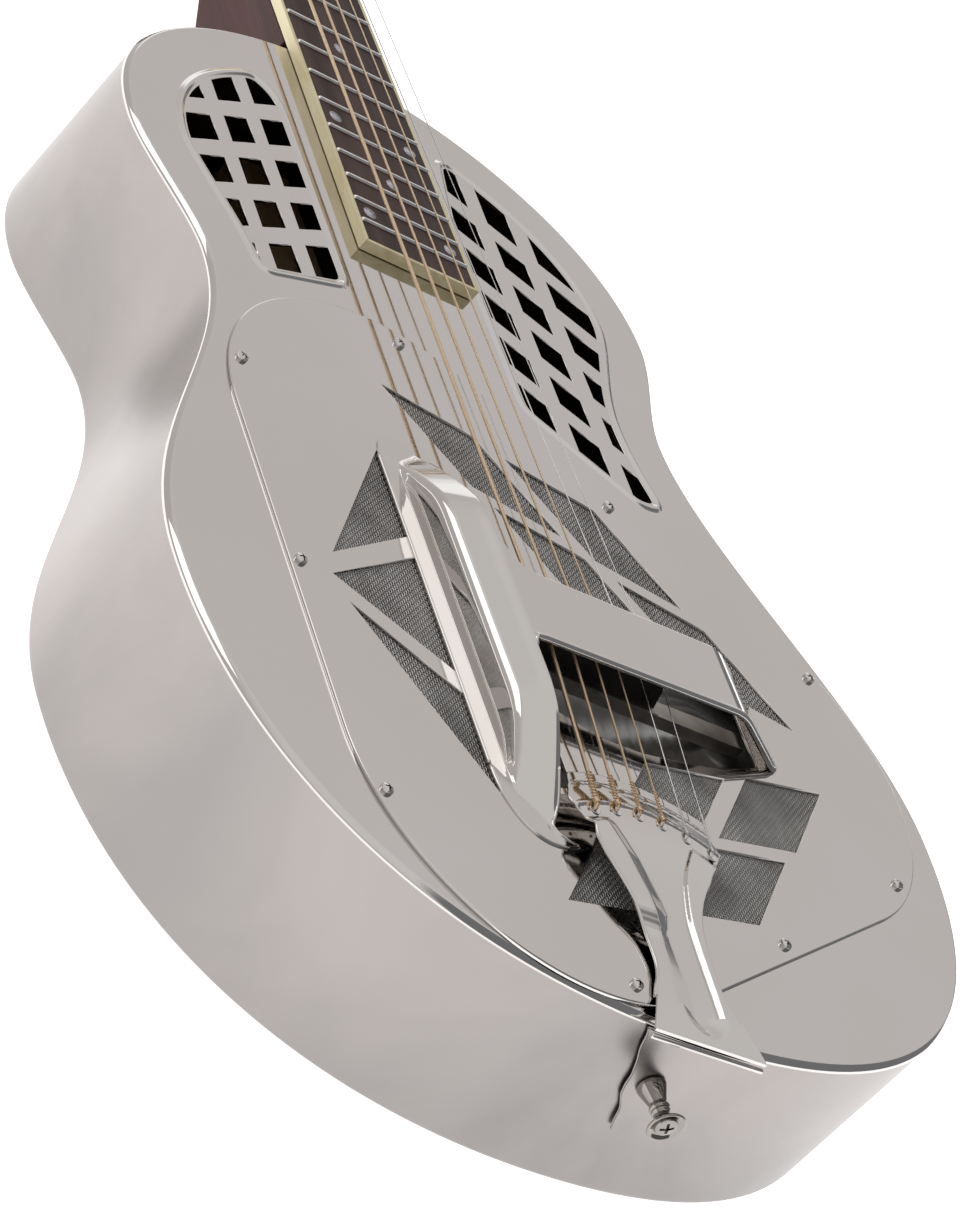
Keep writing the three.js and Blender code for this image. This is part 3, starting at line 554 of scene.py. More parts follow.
def offset(loop, distance):
    """An anticlockwise loop moved outwards, corner by corner."""
    made = []
    count = len(loop)
    for i in range(count):
        before, here, after = (Vector(loop[k][:2]) for k in (i - 1, i, (i + 1) % count))
        a = (here - before).normalized()
        b = (after - here).normalized()
        out = Vector((a.y + b.y, -a.x - b.x))
        size = out.length
        if size < 1e-6:
            out = Vector((a.y, -a.x))
            size = 1
        out /= size
        stretch = 1 / max(out.dot(Vector((a.y, -a.x))), 0.4)
        made.append(tuple(here + out * distance * stretch))
    return made


def raised(loop, height):
    return [(x, y, height) for x, y in loop]


def smoothstep(low, high, value):
    t = min(max((value - low) / (high - low), 0.0), 1.0)
    return t * t * (3 - 2 * t)


def soft_min(a, b, k):
    h = max(k - abs(a - b), 0.0) / k
    return min(a, b) - h * h * k / 4


def soft_max(a, b, k):
    return -soft_min(-a, -b, k)


def along_line(points, value):
    """Height on a line of (place, height) corners."""
    if value <= points[0][0]:
        return points[0][1]
    for (x0, h0), (x1, h1) in zip(points, points[1:]):
        if value <= x1:
            return h0 + (h1 - h0) * (value - x0) / (x1 - x0)
    return points[-1][1]


# ---- plates with windows ------------------------------------------------------------------------
def cut_edge(build, loop, top, thick, outwards):
    """Rounded cut edge from the top face down to the underside.

    Outwards is +1 round the outside and -1 in a hole.
    """
    rounding = 0.25
    steps = (0, 30, 60, 90)
    loops = []
    for degrees in steps:
        a = math.radians(degrees)
        loops.append(raised(offset(loop, outwards * rounding * (math.sin(a) - 1)),
                            top - rounding * (1 - math.cos(a))))
    loops.append(raised(loop, top - thick))
    build.rings(loops)
    return offset(loop, -outwards * rounding)


def grille_windows(panel, columns, rows, pitch, height, tilt, first):
    windows = []
    for x0, x1 in columns:
        for row in range(rows):
            top = first - pitch * row
            upper = 30 if row == 0 else 0
            lower = 14 if row == rows - 1 else 0
            corners = [(x0, top - height - lower + tilt * x0), (x1, top - height - lower + tilt * x1),
                       (x1, top + upper + tilt * x1), (x0, top + upper + tilt * x0)]
            cell = clipped(panel, corners)
            if len(cell) > 2:
                windows.append(tidy(cell))
    return windows


def tidy(loop):
    """Drops points that nearly coincide."""
    kept = []
    for p in loop:
        if not kept or math.dist(p, kept[-1]) > 0.25:
            kept.append(p)
    if math.dist(kept[0], kept[-1]) < 0.25:
        kept.pop()
    return kept


def bass_panel():
    frame_line = [(-110, 152), (-45, 172.5), *arc((-59, 270), 14, 0, 90, 8), (-110, 284)]
    return softened(clipped(body_outline(27), frame_line), 1.2, 8)


def treble_panel():
    frame_line = [(36.9, 144), (84, 116.5), (92, 118), (110, 150), (110, 300), (46, 300),
                  *arc((46.9, 276), 10, 110, 180, 5)]
    return softened(clipped(body_outline(27), frame_line), 1.2, 8)


BEAD = [(0.9, 0.0), (1.4, 0.22), (2.0, 0.62), (2.7, 0.85), (3.4, 0.66), (4.1, 0.24), (4.8, 0.0)]


def make_body_top(material):
    build = Build()
    grilles = [
        (bass_panel(), ((-110, -85.2), (-77.9, -65.1), (-57.7, -44.9)), 5, 23.8, 14.7, 0.476, 307.8),
        (treble_panel(), ((36.9, 49.9), (58.4, 71.8), (81, 110)), 6, 25.7, 15.4, -0.53, 306.2),
    ]
    holes = [cut_edge(build, cover_outline(15), DEPTH, 1.2, -1)]
    for panel, *layout in grilles:
        windows = grille_windows(panel, *layout)
        edges = [cut_edge(build, window, DEPTH, 1.2, -1) for window in windows]
        build.flat(offset(panel, BEAD[0][0]), edges, DEPTH)
        build.rings([raised(offset(panel, out), DEPTH + rise) for out, rise in BEAD])
        holes.append(offset(panel, BEAD[-1][0]))
    build.flat(body_outline(RIM), holes, DEPTH)
    rolled = [(RIM, 0), (1.75, -0.05), (1.55, -0.16), (0.5, -1.14), (0.3, -1.38), (0.1, -1.75),
              (0, -2.2), (0, 0.2 - RIM_DROP), (RIM_STEP, -RIM_DROP)]
    build.rings([raised(body_outline(inset), DEPTH + rise) for inset, rise in rolled])
    return make_piece("top_plate", build, material, ["body_top"], recalculate=False)


def make_body_sides(material):
    build = Build()
    loops = [raised(body_outline(RIM_STEP), DEPTH - RIM_DROP + 0.1)]
    for k in range(1, 8):
        loops.append(raised(body_outline(RIM_STEP), DEPTH - RIM_DROP - (DEPTH - 6) * k / 7))
    for degrees in range(0, 91, 15):
        a = math.radians(degrees)
        loops.append(raised(body_outline(RIM_STEP + 2 - 2 * math.cos(a)), 2 - 2 * math.sin(a)))
    build.rings(loops)
    make_piece("side_shell", build, material, ["body_sides"])


def make_body_back(material):
    build = Build()
    build.flat(body_outline(RIM_STEP + 2), [], 0)
    make_piece("back_plate", build, material, ["body_back"])


def make_body_lining(material):
    """Dull inner faces of the body, a sheet's thickness inside the shell, coloured near black as
    painted shade.
    """
    build = Build()
    build.flat(body_outline(2.2), [], 1.4)
    build.rings([raised(body_outline(1.6), 1.4), raised(body_outline(1.6), DEPTH - 3)])
    make_piece("body_lining", build, material)


# ---- cover plate and screens --------------------------------------------------------------------
def cover_cells():
    cells = []
    for side in (1, -1):
        for i, j in ((0, 0), (1, 0), (0, 1), (1, 1)):
            x = -45 + 54.5 * i + 37.9 * j
            y = 120 - 13.3 * i - 45.6 * j
            cell = [(x, y), (x + 41, y - 7.8), (x + 70.7, y - 46.2), (x + 29.7, y - 38.4)]
            cells.append([(a, side * b + COVER_Y) for a, b in cell])
        cells.append([(a, side * b + COVER_Y) for a, b in ((-60, 80), (-60, 37), (-101.7, 11.5))])
    cells.append([(-105.3, COVER_Y), (-60, COVER_Y + 27), (-60, COVER_Y - 27)])
    return [anticlockwise(cell) for cell in cells]


def anticlockwise(loop):
    area = sum(a[0] * b[1] - b[0] * a[1] for a, b in zip(loop, loop[1:] + loop[:1]))
    return loop if area > 0 else list(reversed(loop))


def bridge_opening():
    return [(-50, -74), (-22, -68), (-22, -28), (4, -35), (23, -34.8), (43, -31.5), (65, -26.8),
            (86, -18), (86, 13), (-21, 13), (-20, 60), (-50, 74)]


SCREW_SPOTS = ((-115, 99), (-27, 149.5), (60, 104.5), (141, 50.3))


def screw_spots():
    spots = [(x, COVER_Y + side * y) for x, y in SCREW_SPOTS for side in (1, -1)]
    return [*spots, (-119.3, COVER_Y)]


def make_cover_plate(material):
    build = Build()
    holes = [cut_edge(build, cell, COVER_TOP, 1.0, -1) for cell in cover_cells()]
    holes.append(cut_edge(build, softened(bridge_opening(), 1.0, 3), COVER_TOP, 1.0, -1))
    build.flat(cover_outline(0.5), holes, COVER_TOP)
    edge = [(0.5, 0.0), (0.32, -0.04), (0.15, -0.16), (0.04, -0.34), (0, -0.55), (0, -1.2)]
    build.rings([raised(cover_outline(inset), COVER_TOP + rise) for inset, rise in edge])
    make_piece("cover_plate", build, material, ["coverplate"], recalculate=False)


def wire(build, start, end, axis, phase):
    """One woven wire between two points along x (axis 0) or y (axis 1)."""
    low = int(math.floor(start[axis] / WIRE_PITCH))
    high = int(math.ceil(end[axis] / WIRE_PITCH))
    path = []
    for k in range(low, high + 1):
        place = list(start)
        place[axis] = min(max(k * WIRE_PITCH, start[axis]), end[axis])
        sign = 1 if (k + phase) % 2 == 0 else -1
        path.append((place[0], place[1], DEPTH - 0.1 + sign * (1 if axis == 0 else -1) * WIRE_RADIUS))
    build.tube(path, WIRE_RADIUS, 4, caps=False)


def make_screens(material):
    """Woven wire behind each window of the cover plate."""
    for number, cell in enumerate(cover_cells(), 1):
        build = Build()
        area = offset(cell, 1.2)
        for axis in (0, 1):
            other = 1 - axis
            low = min(p[other] for p in area)
            high = max(p[other] for p in area)
            for k in range(math.ceil(low / WIRE_PITCH), math.floor(high / WIRE_PITCH) + 1):
                level = k * WIRE_PITCH
                crossings = []
                for p, q in zip(area, area[1:] + area[:1]):
                    if (p[other] - level) * (q[other] - level) < 0:
                        t = (level - p[other]) / (q[other] - p[other])
                        crossings.append(p[axis] + (q[axis] - p[axis]) * t)
                if len(crossings) == 2 and abs(crossings[0] - crossings[1]) > 1:
                    ends = [[0, 0], [0, 0]]
                    for point, value in zip(ends, sorted(crossings)):
                        point[axis] = value
                        point[other] = level
                    wire(build, ends[0], ends[1], axis, k)
        stands_for = ["coverplate_screen"] if number == 1 else ()
        make_piece(f"screen_{number}", build, material, stands_for, recalculate=False)


def cross_head(build, place, radius, height, dome=0.5):
    """A domed screw head with a cross recess, its axis along the place's z."""
    slot_half = radius * 0.13
    reach = radius * 0.62
    floor = height * 0.35
    arm = [(slot_half, reach), (-slot_half, reach), (-slot_half, slot_half), (-reach, slot_half),
           (-reach, -slot_half), (-slot_half, -slot_half), (-slot_half, -reach), (slot_half, -reach),
           (slot_half, -slot_half), (reach, -slot_half), (reach, slot_half), (slot_half, slot_half)]

    def top(x, y):
        return height + dome * (1 - (x * x + y * y) / radius ** 2)

    sides = 36
    rim = [(radius * 0.93 * math.cos(2 * math.pi * k / sides),
            radius * 0.93 * math.sin(2 * math.pi * k / sides))
           for k in range(sides)]
    places, faces = triangulated([rim, arm], tolerance=1e-6)
    made = build.ring([place @ Vector((p[0], p[1], top(p[0], p[1]))) for p in places])
    for corners in faces:
        build.face([made[i] for i in corners], True)
    upper = [place @ Vector((x, y, top(x, y))) for x, y in arm]
    lower = [place @ Vector((x * 0.8, y * 0.8, floor)) for x, y in arm]
    made = build.rings([upper, lower], smooth=False)
    build.cap(made[-1])
    loops = []
    for share, level in ((0.93, top(radius * 0.93, 0)), (0.985, height * 0.8), (1.0, height * 0.45),
                         (1.0, 0.0)):
        loops.append([place @ Vector((x / 0.93 * share, y / 0.93 * share, level)) for x, y in rim])
    build.rings(loops)


def make_cover_screws(material):
    for number, (x, y) in enumerate(screw_spots(), 1):
        build = Build()
        place = Matrix.Translation((x, y, COVER_TOP + 0.05)) @ Matrix.Rotation(0.7 * number, 4, "Z")
        cross_head(build, place, 2.3, 1.0, 0.8)
        make_piece(f"cover_screw_head_{number}", build, material, [f"cover_screw_{number}"])


# ---- hand rest ----------------------------------------------------------------------------------
REST_WEST = -53.0  # foot of the mirror wall
REST_EAST = -38.2
WALL_LEAN = 0.9  # the mirror wall leans in by this much
WALL_ROUND = 2.8  # width of its rounding into the roof
REST_TOP = 20.0
STEM_SOUTH = -19.3
STEM_NORTH = 13.5
FLANGE_HEIGHT = 1.75  # foot of the outer wall, above the top plate
REST_THICK = 1.0
ROOF_START = 13.2  # height of the sloping roof above the outer wall's foot line
ROOF_SLOPE = 0.53
STEM_BEND = 63.0  # x where the stem's roof starts to fall towards its end
STEM_SLOPE = 0.56
RIM_SPACING = 1.2  # of the points round a pressed sheet
RIM_MARGIN = 0.55  # the inner points of a sheet keep this far from its edge
# distance from the cover plate's middle line, height of the bar's roof
END_FALL = [(0, 27), (34, 22.3), (42, 20.4), (51, 17.8), (59.5, 14.4), (71.4, 9), (78.6, 5.2),
            (84.5, 2.2), (90, 1.2), (97, 1.0)]


def hand_rest_height(x, y):
    """Height of the pressed sheet above the top plate."""
    reach = abs(y - COVER_Y)
    end = smooth_line(END_FALL, reach) - 0.4 * max(REST_EAST - 1.3 - x, 0)
    roof = soft_min(ROOF_START + ROOF_SLOPE * (x - REST_WEST), REST_TOP, 1.6)
    roof = soft_min(roof, REST_TOP - (x - STEM_BEND) * STEM_SLOPE, 3.0)
    top = roof
    if x < REST_EAST or not in_stem(y):
        top = soft_max(soft_min(roof, end, 2.4), FLANGE_HEIGHT, 1.2)
    drop = min(2.8, 0.4 * (top - FLANGE_HEIGHT))
    if x <= REST_WEST:
        return FLANGE_HEIGHT
    if x < REST_WEST + WALL_LEAN:
        return FLANGE_HEIGHT + (top - drop - FLANGE_HEIGHT) * (x - REST_WEST) / WALL_LEAN
    turn = min((x - REST_WEST - WALL_LEAN) / WALL_ROUND, 1)
    return top - drop * (1 - math.sqrt(1 - (1 - turn) ** 2))


def in_stem(y):
    """Whether y is level with the stem or the fillet on its head side."""
    return STEM_SOUTH - 1 < y < STEM_NORTH + 18


def hand_rest_outline():
    """The edge of the hand rest from above, anticlockwise from its tail end."""
    near_end = curve_through([(-60.5, -72), (-59.6, -81), (-57, -88.5), (-52.5, -95), (-45.5, -98.9),
                              (-38, -99.2), (-32, -97.6), (-30.8, -96.4), (-34.5, -95.6),
                              (-38.6, -93.6), (-40.2, -90.4), (-38.6, -87), (-37.4, -82),
                              (-37.6, -74)], 5)
    east = [(-38, -60), (REST_EAST, -44), (REST_EAST, -24), (-37.6, STEM_SOUTH - 1.2),
            (-36, STEM_SOUTH)]
    stem = [(63, STEM_SOUTH + 2), (92, -17), (96.5, -15), (97.5, 14), (95, 17), (64, STEM_NORTH),
            (-24, STEM_NORTH)]
    north = curve_through([(-27, 14), (-31.5, 16), (-35.6, 22), (-37.6, 30), (REST_EAST, 42),
                           (-38.4, 60), (-39.6, 74), (-42.5, 81), (-48, 85), (-54, 84.6), (-58.6, 81),
                           (-60.5, 74)], 5)
    return near_end + east + stem + north


def height_sheet(build, outline, height, columns, rows, thick):
    """A pressed sheet over an outline: top face, underside and the edge between them."""
    rim = spaced(outline, RIM_SPACING)
    inner = [Vector((x, y)) for x in columns for y in rows if deep_inside(rim, x, y, RIM_MARGIN)]
    places, faces = triangulated([rim], inner)
    tops = []
    unders = []
    normals = []
    for p in places:
        x, y = p[0], p[1]
        step = 0.12
        slope = Vector((height(x - step, y) - height(x + step, y),
                        height(x, y - step) - height(x, y + step),
                        2 * step)).normalized()
        here = Vector((x, y, height(x, y)))
        tops.append(here)
        unders.append(here - slope * thick)
        normals.append(slope)
    upper = build.ring(tops)
    lower = build.ring(unders)
    for corners in faces:
        build.face([upper[i] for i in corners], True)
        build.face([lower[i] for i in reversed(corners)], True)
    for i, normal in enumerate(normals):
        build.normals[upper[i]] = tuple(normal)
        build.normals[lower[i]] = tuple(-normal)
    first = build.ring([(x, y, height(x, y)) for x, y in rim])
    second = build.ring([(x, y, height(x, y) - thick) for x, y in rim])
    build.strip(first, second)
    return rim


def deep_inside(loop, x, y, margin):
    """Whether a point is inside a loop and at least the margin away from it."""
    for i in range(len(loop)):
        (x0, y0), (x1, y1) = loop[i - 1], loop[i]
        length = math.hypot(x1 - x0, y1 - y0)
        if length > 0:
            t = min(max(((x - x0) * (x1 - x0) + (y - y0) * (y1 - y0)) / length ** 2, 0), 1)
            if math.hypot(x - x0 - t * (x1 - x0), y - y0 - t * (y1 - y0)) < margin:
                return False
    return encloses(loop, x, y)


def steps_between(low, high, step):
    """Even values from low to high, about one step apart."""
    count = max(round((high - low) / step), 1)
    return [low + (high - low) * i / count for i in range(count + 1)]


def edge_skirt(build, points, height, radius, bottom):
    """A rounded edge that turns down from the sheet, along a line of points in the plane."""
    loops = [[] for _ in range(6)]
    for i, (x, y) in enumerate(points):
        ahead = Vector(points[min(i + 1, len(points) - 1)])
        behind = Vector(points[max(i - 1, 0)])
        along = (ahead - behind).normalized()
        out = Vector((along.y, -along.x))
        top = height(x, y)
        for k in range(5):
            a = math.radians(22.5 * k)
            push = radius * math.sin(a)
            loops[k].append((x + out.x * push, y + out.y * push, top - radius * (1 - math.cos(a))))
        low = min(bottom, top - radius)
        loops[5].append((x + out.x * radius * 1.3, y + out.y * radius * 1.3, low))
    build.rings(loops, closed=False)


def make_hand_rest(material):
    build = Build()

    def height(x, y):
        return DEPTH + hand_rest_height(x, y)

    columns = steps_between(-60, -53.4, 1.1) + steps_between(-53.1, -52.2, 0.12)
    columns += steps_between(-52, -47.4, 0.35)
    columns += steps_between(-46.8, -34, 0.8) + steps_between(-32, 97, 2.1)
    rows = steps_between(-99, 85, 1.3)
    rim = height_sheet(build, hand_rest_outline(), height, columns, rows, REST_THICK)
    south = [p for p in rim if p[0] > -44 and -90 < p[1] < STEM_SOUTH and p[0] < -35]
    edge_skirt(build, sorted(south, key=lambda p: p[1]), height, 0.9, DEPTH + 2)
    north = [p for p in rim if p[1] > STEM_NORTH - 1 and p[0] < 60 and p[0] > REST_EAST - 8]
    edge_skirt(build, sorted(north, key=lambda p: p[1] - p[0]), height, 0.9, DEPTH + 14)
    lip = [(-37.4, -24), (-37.2, -21.4), (-36.3, -19.8), (-34.5, STEM_SOUTH - 0.3)]
    lip += [(x, STEM_SOUTH + (x + 34) * 0.02) for x in steps_between(-32, 62, 2.5)]
    lip += [(x, STEM_SOUTH + 2) for x in steps_between(64, 92, 2)]
    lip += [(94.5, -16.4), (96.2, -15)]
    radii = [0.5, 0.9, 1.2, 1.4] + [1.45] * (len(lip) - 6) + [1.1, 0.7]
    build.tube([(x, y, height(x, y) - 0.5) for x, y in lip], radii, 16)
    west = [(x, y, height(x, y) - 0.35) for x, y in rim if x < -59.9 and -72 < y < 74]
    build.tube(sorted(west, key=lambda p: p[1]), 0.7, 10)
    wrap = [(x, y, height(x, y) - 0.35) for x, y in rim if y < -71 and (x < -36 or y < -95)]
    build.tube(wrap, 0.7, 10)
    make_piece("hand_rest", build, material, ["bridge_cover"], recalculate=False)


# ---- tailpiece ----------------------------------------------------------------------------------
# y, then x of the bass side and of the treble side
TAIL_SIDES = [(-171.5, -26.6, 22.6), (-163, -23.6, 18.2), (-157, -21.4, 15.6), (-151, -18.8, 13),
              (-147, -16.9, 11.6), (-141, -15.6, 10.9), (-134, -15.9, 10.9), (-126, -17, 11.2),
              (-119, -19.4, 12.2), (-111, -23, 15), (-104, -26.4, 18.8), (-99, -28.4, 22.4),
              (-95, -28.9, 24.6), (-90.5, -28.3, 28.2), (-87, -29.6, 30.8), (-84, -33, 32.6),
              (-81, -34.2, 33.2), (-77, -32.4, 32.4), (-73, -30.9, 32.2)]
# y, height of the channel above the top plate
TAIL_RISE = [(-176, -0.4), (-171, 0.2), (-160, 1.6), (-150, 2.4), (-135, 3.2), (-118, 4.3), (-104, 5.6),
             (-97, 6.4), (-90, 7.4), (-84, 8.3), (-76, 8.8), (-60, 9.1)]
# the bass side slopes up from the channel: y, then where the slope ends, its width and its height
LEFT_WALL = [(-158, -11), (-140, -9.6), (-125, -9.6), (-114, -11.6), (-98.5, -17.2), (-91, -22),
             (-84, -27)]
LEFT_SPREAD = [(-150, 7), (-127, 4.5), (-119, 8.6), (-84, 9.2)]
LEFT_RAISE = [(-156, 1.0), (-128, 1.0), (-120.5, 3.1), (-84, 3.3)]
# the treble side stands up in a wall: y, x of the wall
RIGHT_WALL = [(-165, 8.6), (-150, 8.2), (-126, 7.3), (-117, 7.5), (-106, 9.7), (-98.7, 11.6),
              (-92.8, 14.4), (-84, 19.5)]
RIGHT_RAISE = 1.7
# the channel's rounded tail end is an ellipse
FOOT_RAISE = 2.6
FOOT_X = -1.2
FOOT_Y = -157.5
FOOT_HALF_WIDTH = 9.6
FOOT_HALF_LENGTH = 10.2
LIP_CENTRE = -150.0  # the string holes, the bead and the lip lie on arcs about this y
HOLE_REACH = 71.0
BEAD_REACH = 73.8
LIP_REACH = 87.0
TAIL_THICK = 1.2
HOLE_PITCH = 10.6
HANGER_X = -1.0  # middle line of the bracket
HOLE_SHIFT = 2.3  # the row of string holes is off the middle line


def smooth_line(points, value):
    """A line of corners, averaged over a short span so that it bends smoothly."""
    return sum(along_line(points, value + d) for d in (-4, -2, 0, 2, 4)) / 5


def slope_step(low, high, value):
    """A straight ramp from 0 to 1 with slightly rounded ends."""
    t = (value - low) / (high - low)
    return soft_max(soft_min(t, 1.0, 0.13), 0.0, 0.13)


def tail_height(x, y):
    """Height of the pressed tailpiece above the top plate."""
    base = smooth_line(TAIL_RISE, y)
    reach = math.hypot(x, y - LIP_CENTRE)
    nose = slope_step(68.2, 64.6, reach)
    left = along_line(LEFT_WALL, y)
    spread = along_line(LEFT_SPREAD, y)
    left_share = slope_step(left + spread, left, x)
    right = smooth_line(RIGHT_WALL, y)
    right_share = slope_step(right - 0.4, right + 0.7, x)
    spoon = math.hypot((x - FOOT_X) / FOOT_HALF_WIDTH, (y - FOOT_Y) / FOOT_HALF_LENGTH)
    foot_share = slope_step(0.42, 1.0, spoon) if y < FOOT_Y else 0
    left_raise = smooth_line(LEFT_RAISE, y)
    raise_by = max(left_raise * left_share, RIGHT_RAISE * right_share, FOOT_RAISE * foot_share)
    height = base + raise_by * nose
    if reach > HOLE_REACH:
        height += 0.55 * math.exp(-(((reach - BEAD_REACH) / 0.8) ** 2))
        height -= 0.23 * soft_max(soft_min(reach - BEAD_REACH - 0.6, 6.8, 0.8), 0, 0.8)
        height += 0.5 * math.exp(-(((reach - LIP_REACH + 4.6) / 0.7) ** 2))
    return height


def tail_outline():
    left = [(x, y) for y, x, _ in TAIL_SIDES]
    right = [(x, y) for y, _, x in TAIL_SIDES]
    lip = arc((0.8, LIP_CENTRE), LIP_REACH, 69.5, 110.5, 16)
    return curve_through(right, 3) + lip + list(reversed(curve_through(left, 3)))


def tail_hole(i):
    x = HOLE_SHIFT + HOLE_PITCH * (i - 2.5)
    return x, LIP_CENTRE + math.sqrt(HOLE_REACH ** 2 - x * x)


def make_tailpiece(material, dark):
    build = Build()

    def height(x, y):
        return DEPTH + tail_height(x, y)

    columns = steps_between(-34, 6, 0.62) + steps_between(6.3, 20, 0.22) + steps_between(20.5, 34, 0.62)
    rows = steps_between(-171, -62, 0.72)
    rim = height_sheet(build, tail_outline(), height, columns, rows, TAIL_THICK)
    edge = [(x, y, height(x, y) - 0.55) for x, y in rim if y > -171.4]
    start = min(range(len(edge)), key=lambda k: edge[k][1] + abs(edge[k][0]) * 0.001)
    build.tube(edge[start + 1:] + edge[:start + 1], 0.6, 8, caps=False)
    make_piece("tailpiece_plate", build, material, ["tailpiece"], recalculate=False)
    holes = Build()
    for i in range(6):
        x, y = tail_hole(i)
        place = Matrix.Translation((x, y, height(x, y) + 0.02))
        holes.turned([(0.2, 0.0), (1.9, 0.0), (2.05, 0.14), (2.25, 0.06), (2.25, -0.1)], place, 22)
    make_piece("tailpiece_holes", holes, dark)


def tail_face(z):
    """Half width of the hanger at a height below the top plate."""
    line = [(-46, 0.3), (-43, 2), (-36.5, 4.6), (-31, 9.2), (-27, 11), (-22.4, 12.2), (-16.7, 15),
            (-10.8, 18.6), (-4.5, 21), (-1, 24)]
    return along_line([(DEPTH + depth, width) for depth, width in line], z)


def tail_y(x, gap):
    """The tail of the body at a distance from the middle line, moved out by a gap."""
    outline = [p for p in body_outline(-gap) if p[1] < -120]
    ordered = sorted(outline)
    return along_line(ordered, x)


def make_bracket(material, bright):
    build = Build()
    heights = steps_between(DEPTH - 46, DEPTH - 2.5, 1.5)
    for gap in (0.5, 1.6):
        loops = []
        for z in heights:
            half = tail_face(z)
            loops.append([(half * u + HANGER_X, tail_y(half * u + HANGER_X, gap), z)
                          for u in steps_between(-1, 1, 0.1)])
        build.rings(loops, closed=False)
    border = []
    for side, order in ((-1, heights), (1, list(reversed(heights)))):
        edge = [(side * tail_face(z) + HANGER_X, z) for z in order]
        border += [(x, tail_y(x, 1.05), z) for x, z in edge]
    build.tube(border, 0.36, 8)
    make_piece("tail_hanger", build, material, ["tailpiece_bracket"])
    hinge = Build()
    start, end = HINGE_SPAN
    profile = [(0.4, start), (0.7, start), (HINGE_RADIUS, start + 0.25), (HINGE_RADIUS, end - 0.25),
               (0.7, end), (0.4, end)]
    place = Matrix.Translation((0, HINGE_Y - 2.4, HINGE_Z + 0.9)) @ Matrix.Rotation(math.pi / 2, 4, "Y")
    hinge.turned(profile, place, 28)
    make_piece("tail_hinge", hinge, bright, ["tailpiece_hinge_pin"])


def make_strap_button(material):
    place = Matrix.Translation((BUTTON_X, BUTTON_FOOT, BUTTON_Z)) @ Matrix.Rotation(math.pi / 2, 4, "X")
    profile = [(1.0, 0), (4.9, 0), (5.05, 0.3), (5.0, 0.9), (4.3, 3), (3.6, 5.2), (3.0, 7.2),
               (2.8, 8.0), (2.9, 8.25), (3.4, 8.5), (3.55, 9.0), (3.4, 9.5), (3.0, 9.75), (2.95, 10.0),
               (3.2, 10.25), (3.25, 10.6), (3.1, 10.95), (2.75, 11.2), (2.75, 12.2), (3.2, 13.2),
               (4.3, 14.4), (5.6, 15.3), (6.3, 15.8), (6.6, 16.3), (6.5, 16.75), (6.15, 16.9),
               (5.7, 16.75), (5.0, 16.3), (4.2, 15.9), (1.0, 15.8)]
    build = Build()
    build.turned(profile, place, 56)
    make_piece("strap_button_turned", build, material, ["strap_button"])
    screw = Build()
    recess = place @ Matrix.Translation((0, 0, 15.8)) @ Matrix.Rotation(0.5, 4, "Z")
    cross_head(screw, recess, 4.0, 0.9, 0.8)
    make_piece("strap_screw", screw, material, ["strap_button_screw"])


# ---- cones and bridge ---------------------------------------------------------------------------
def make_cones(material):
    profile = [(0.5, 16), (8.5, 16), (9.2, 15.4), (10.5, 14.6)]
    for k in range(1, 30):
        r = 10.5 + 51 * k / 30
        ripple = 0.28 * math.sin(k * 2.1)
        profile.append((r, 14.6 - 13.2 * k / 30 + ripple))
    profile += [(62, 1.2), (64, 0.9), (67.4, 1.0), (68.4, 0.7), (68.4, 0.1)]
    for name, (x, y) in CONES.items():
        build = Build()
        build.turned(profile, Matrix.Translation((x, y + COVER_Y, CONE_SEAT)), 72)
        make_piece(f"spun_{name}", build, material, [name])


# ---- neck, fretboard and head ---------------------------------------------------------------------
def fret_at(number):
    return SCALE * 2 ** (-number / 12)


def board_half(y):
    share = (SCALE - y) / (SCALE - BOARD_END)
    return (BOARD_NUT_WIDTH + share * (BOARD_END_WIDTH - BOARD_NUT_WIDTH)) / 2


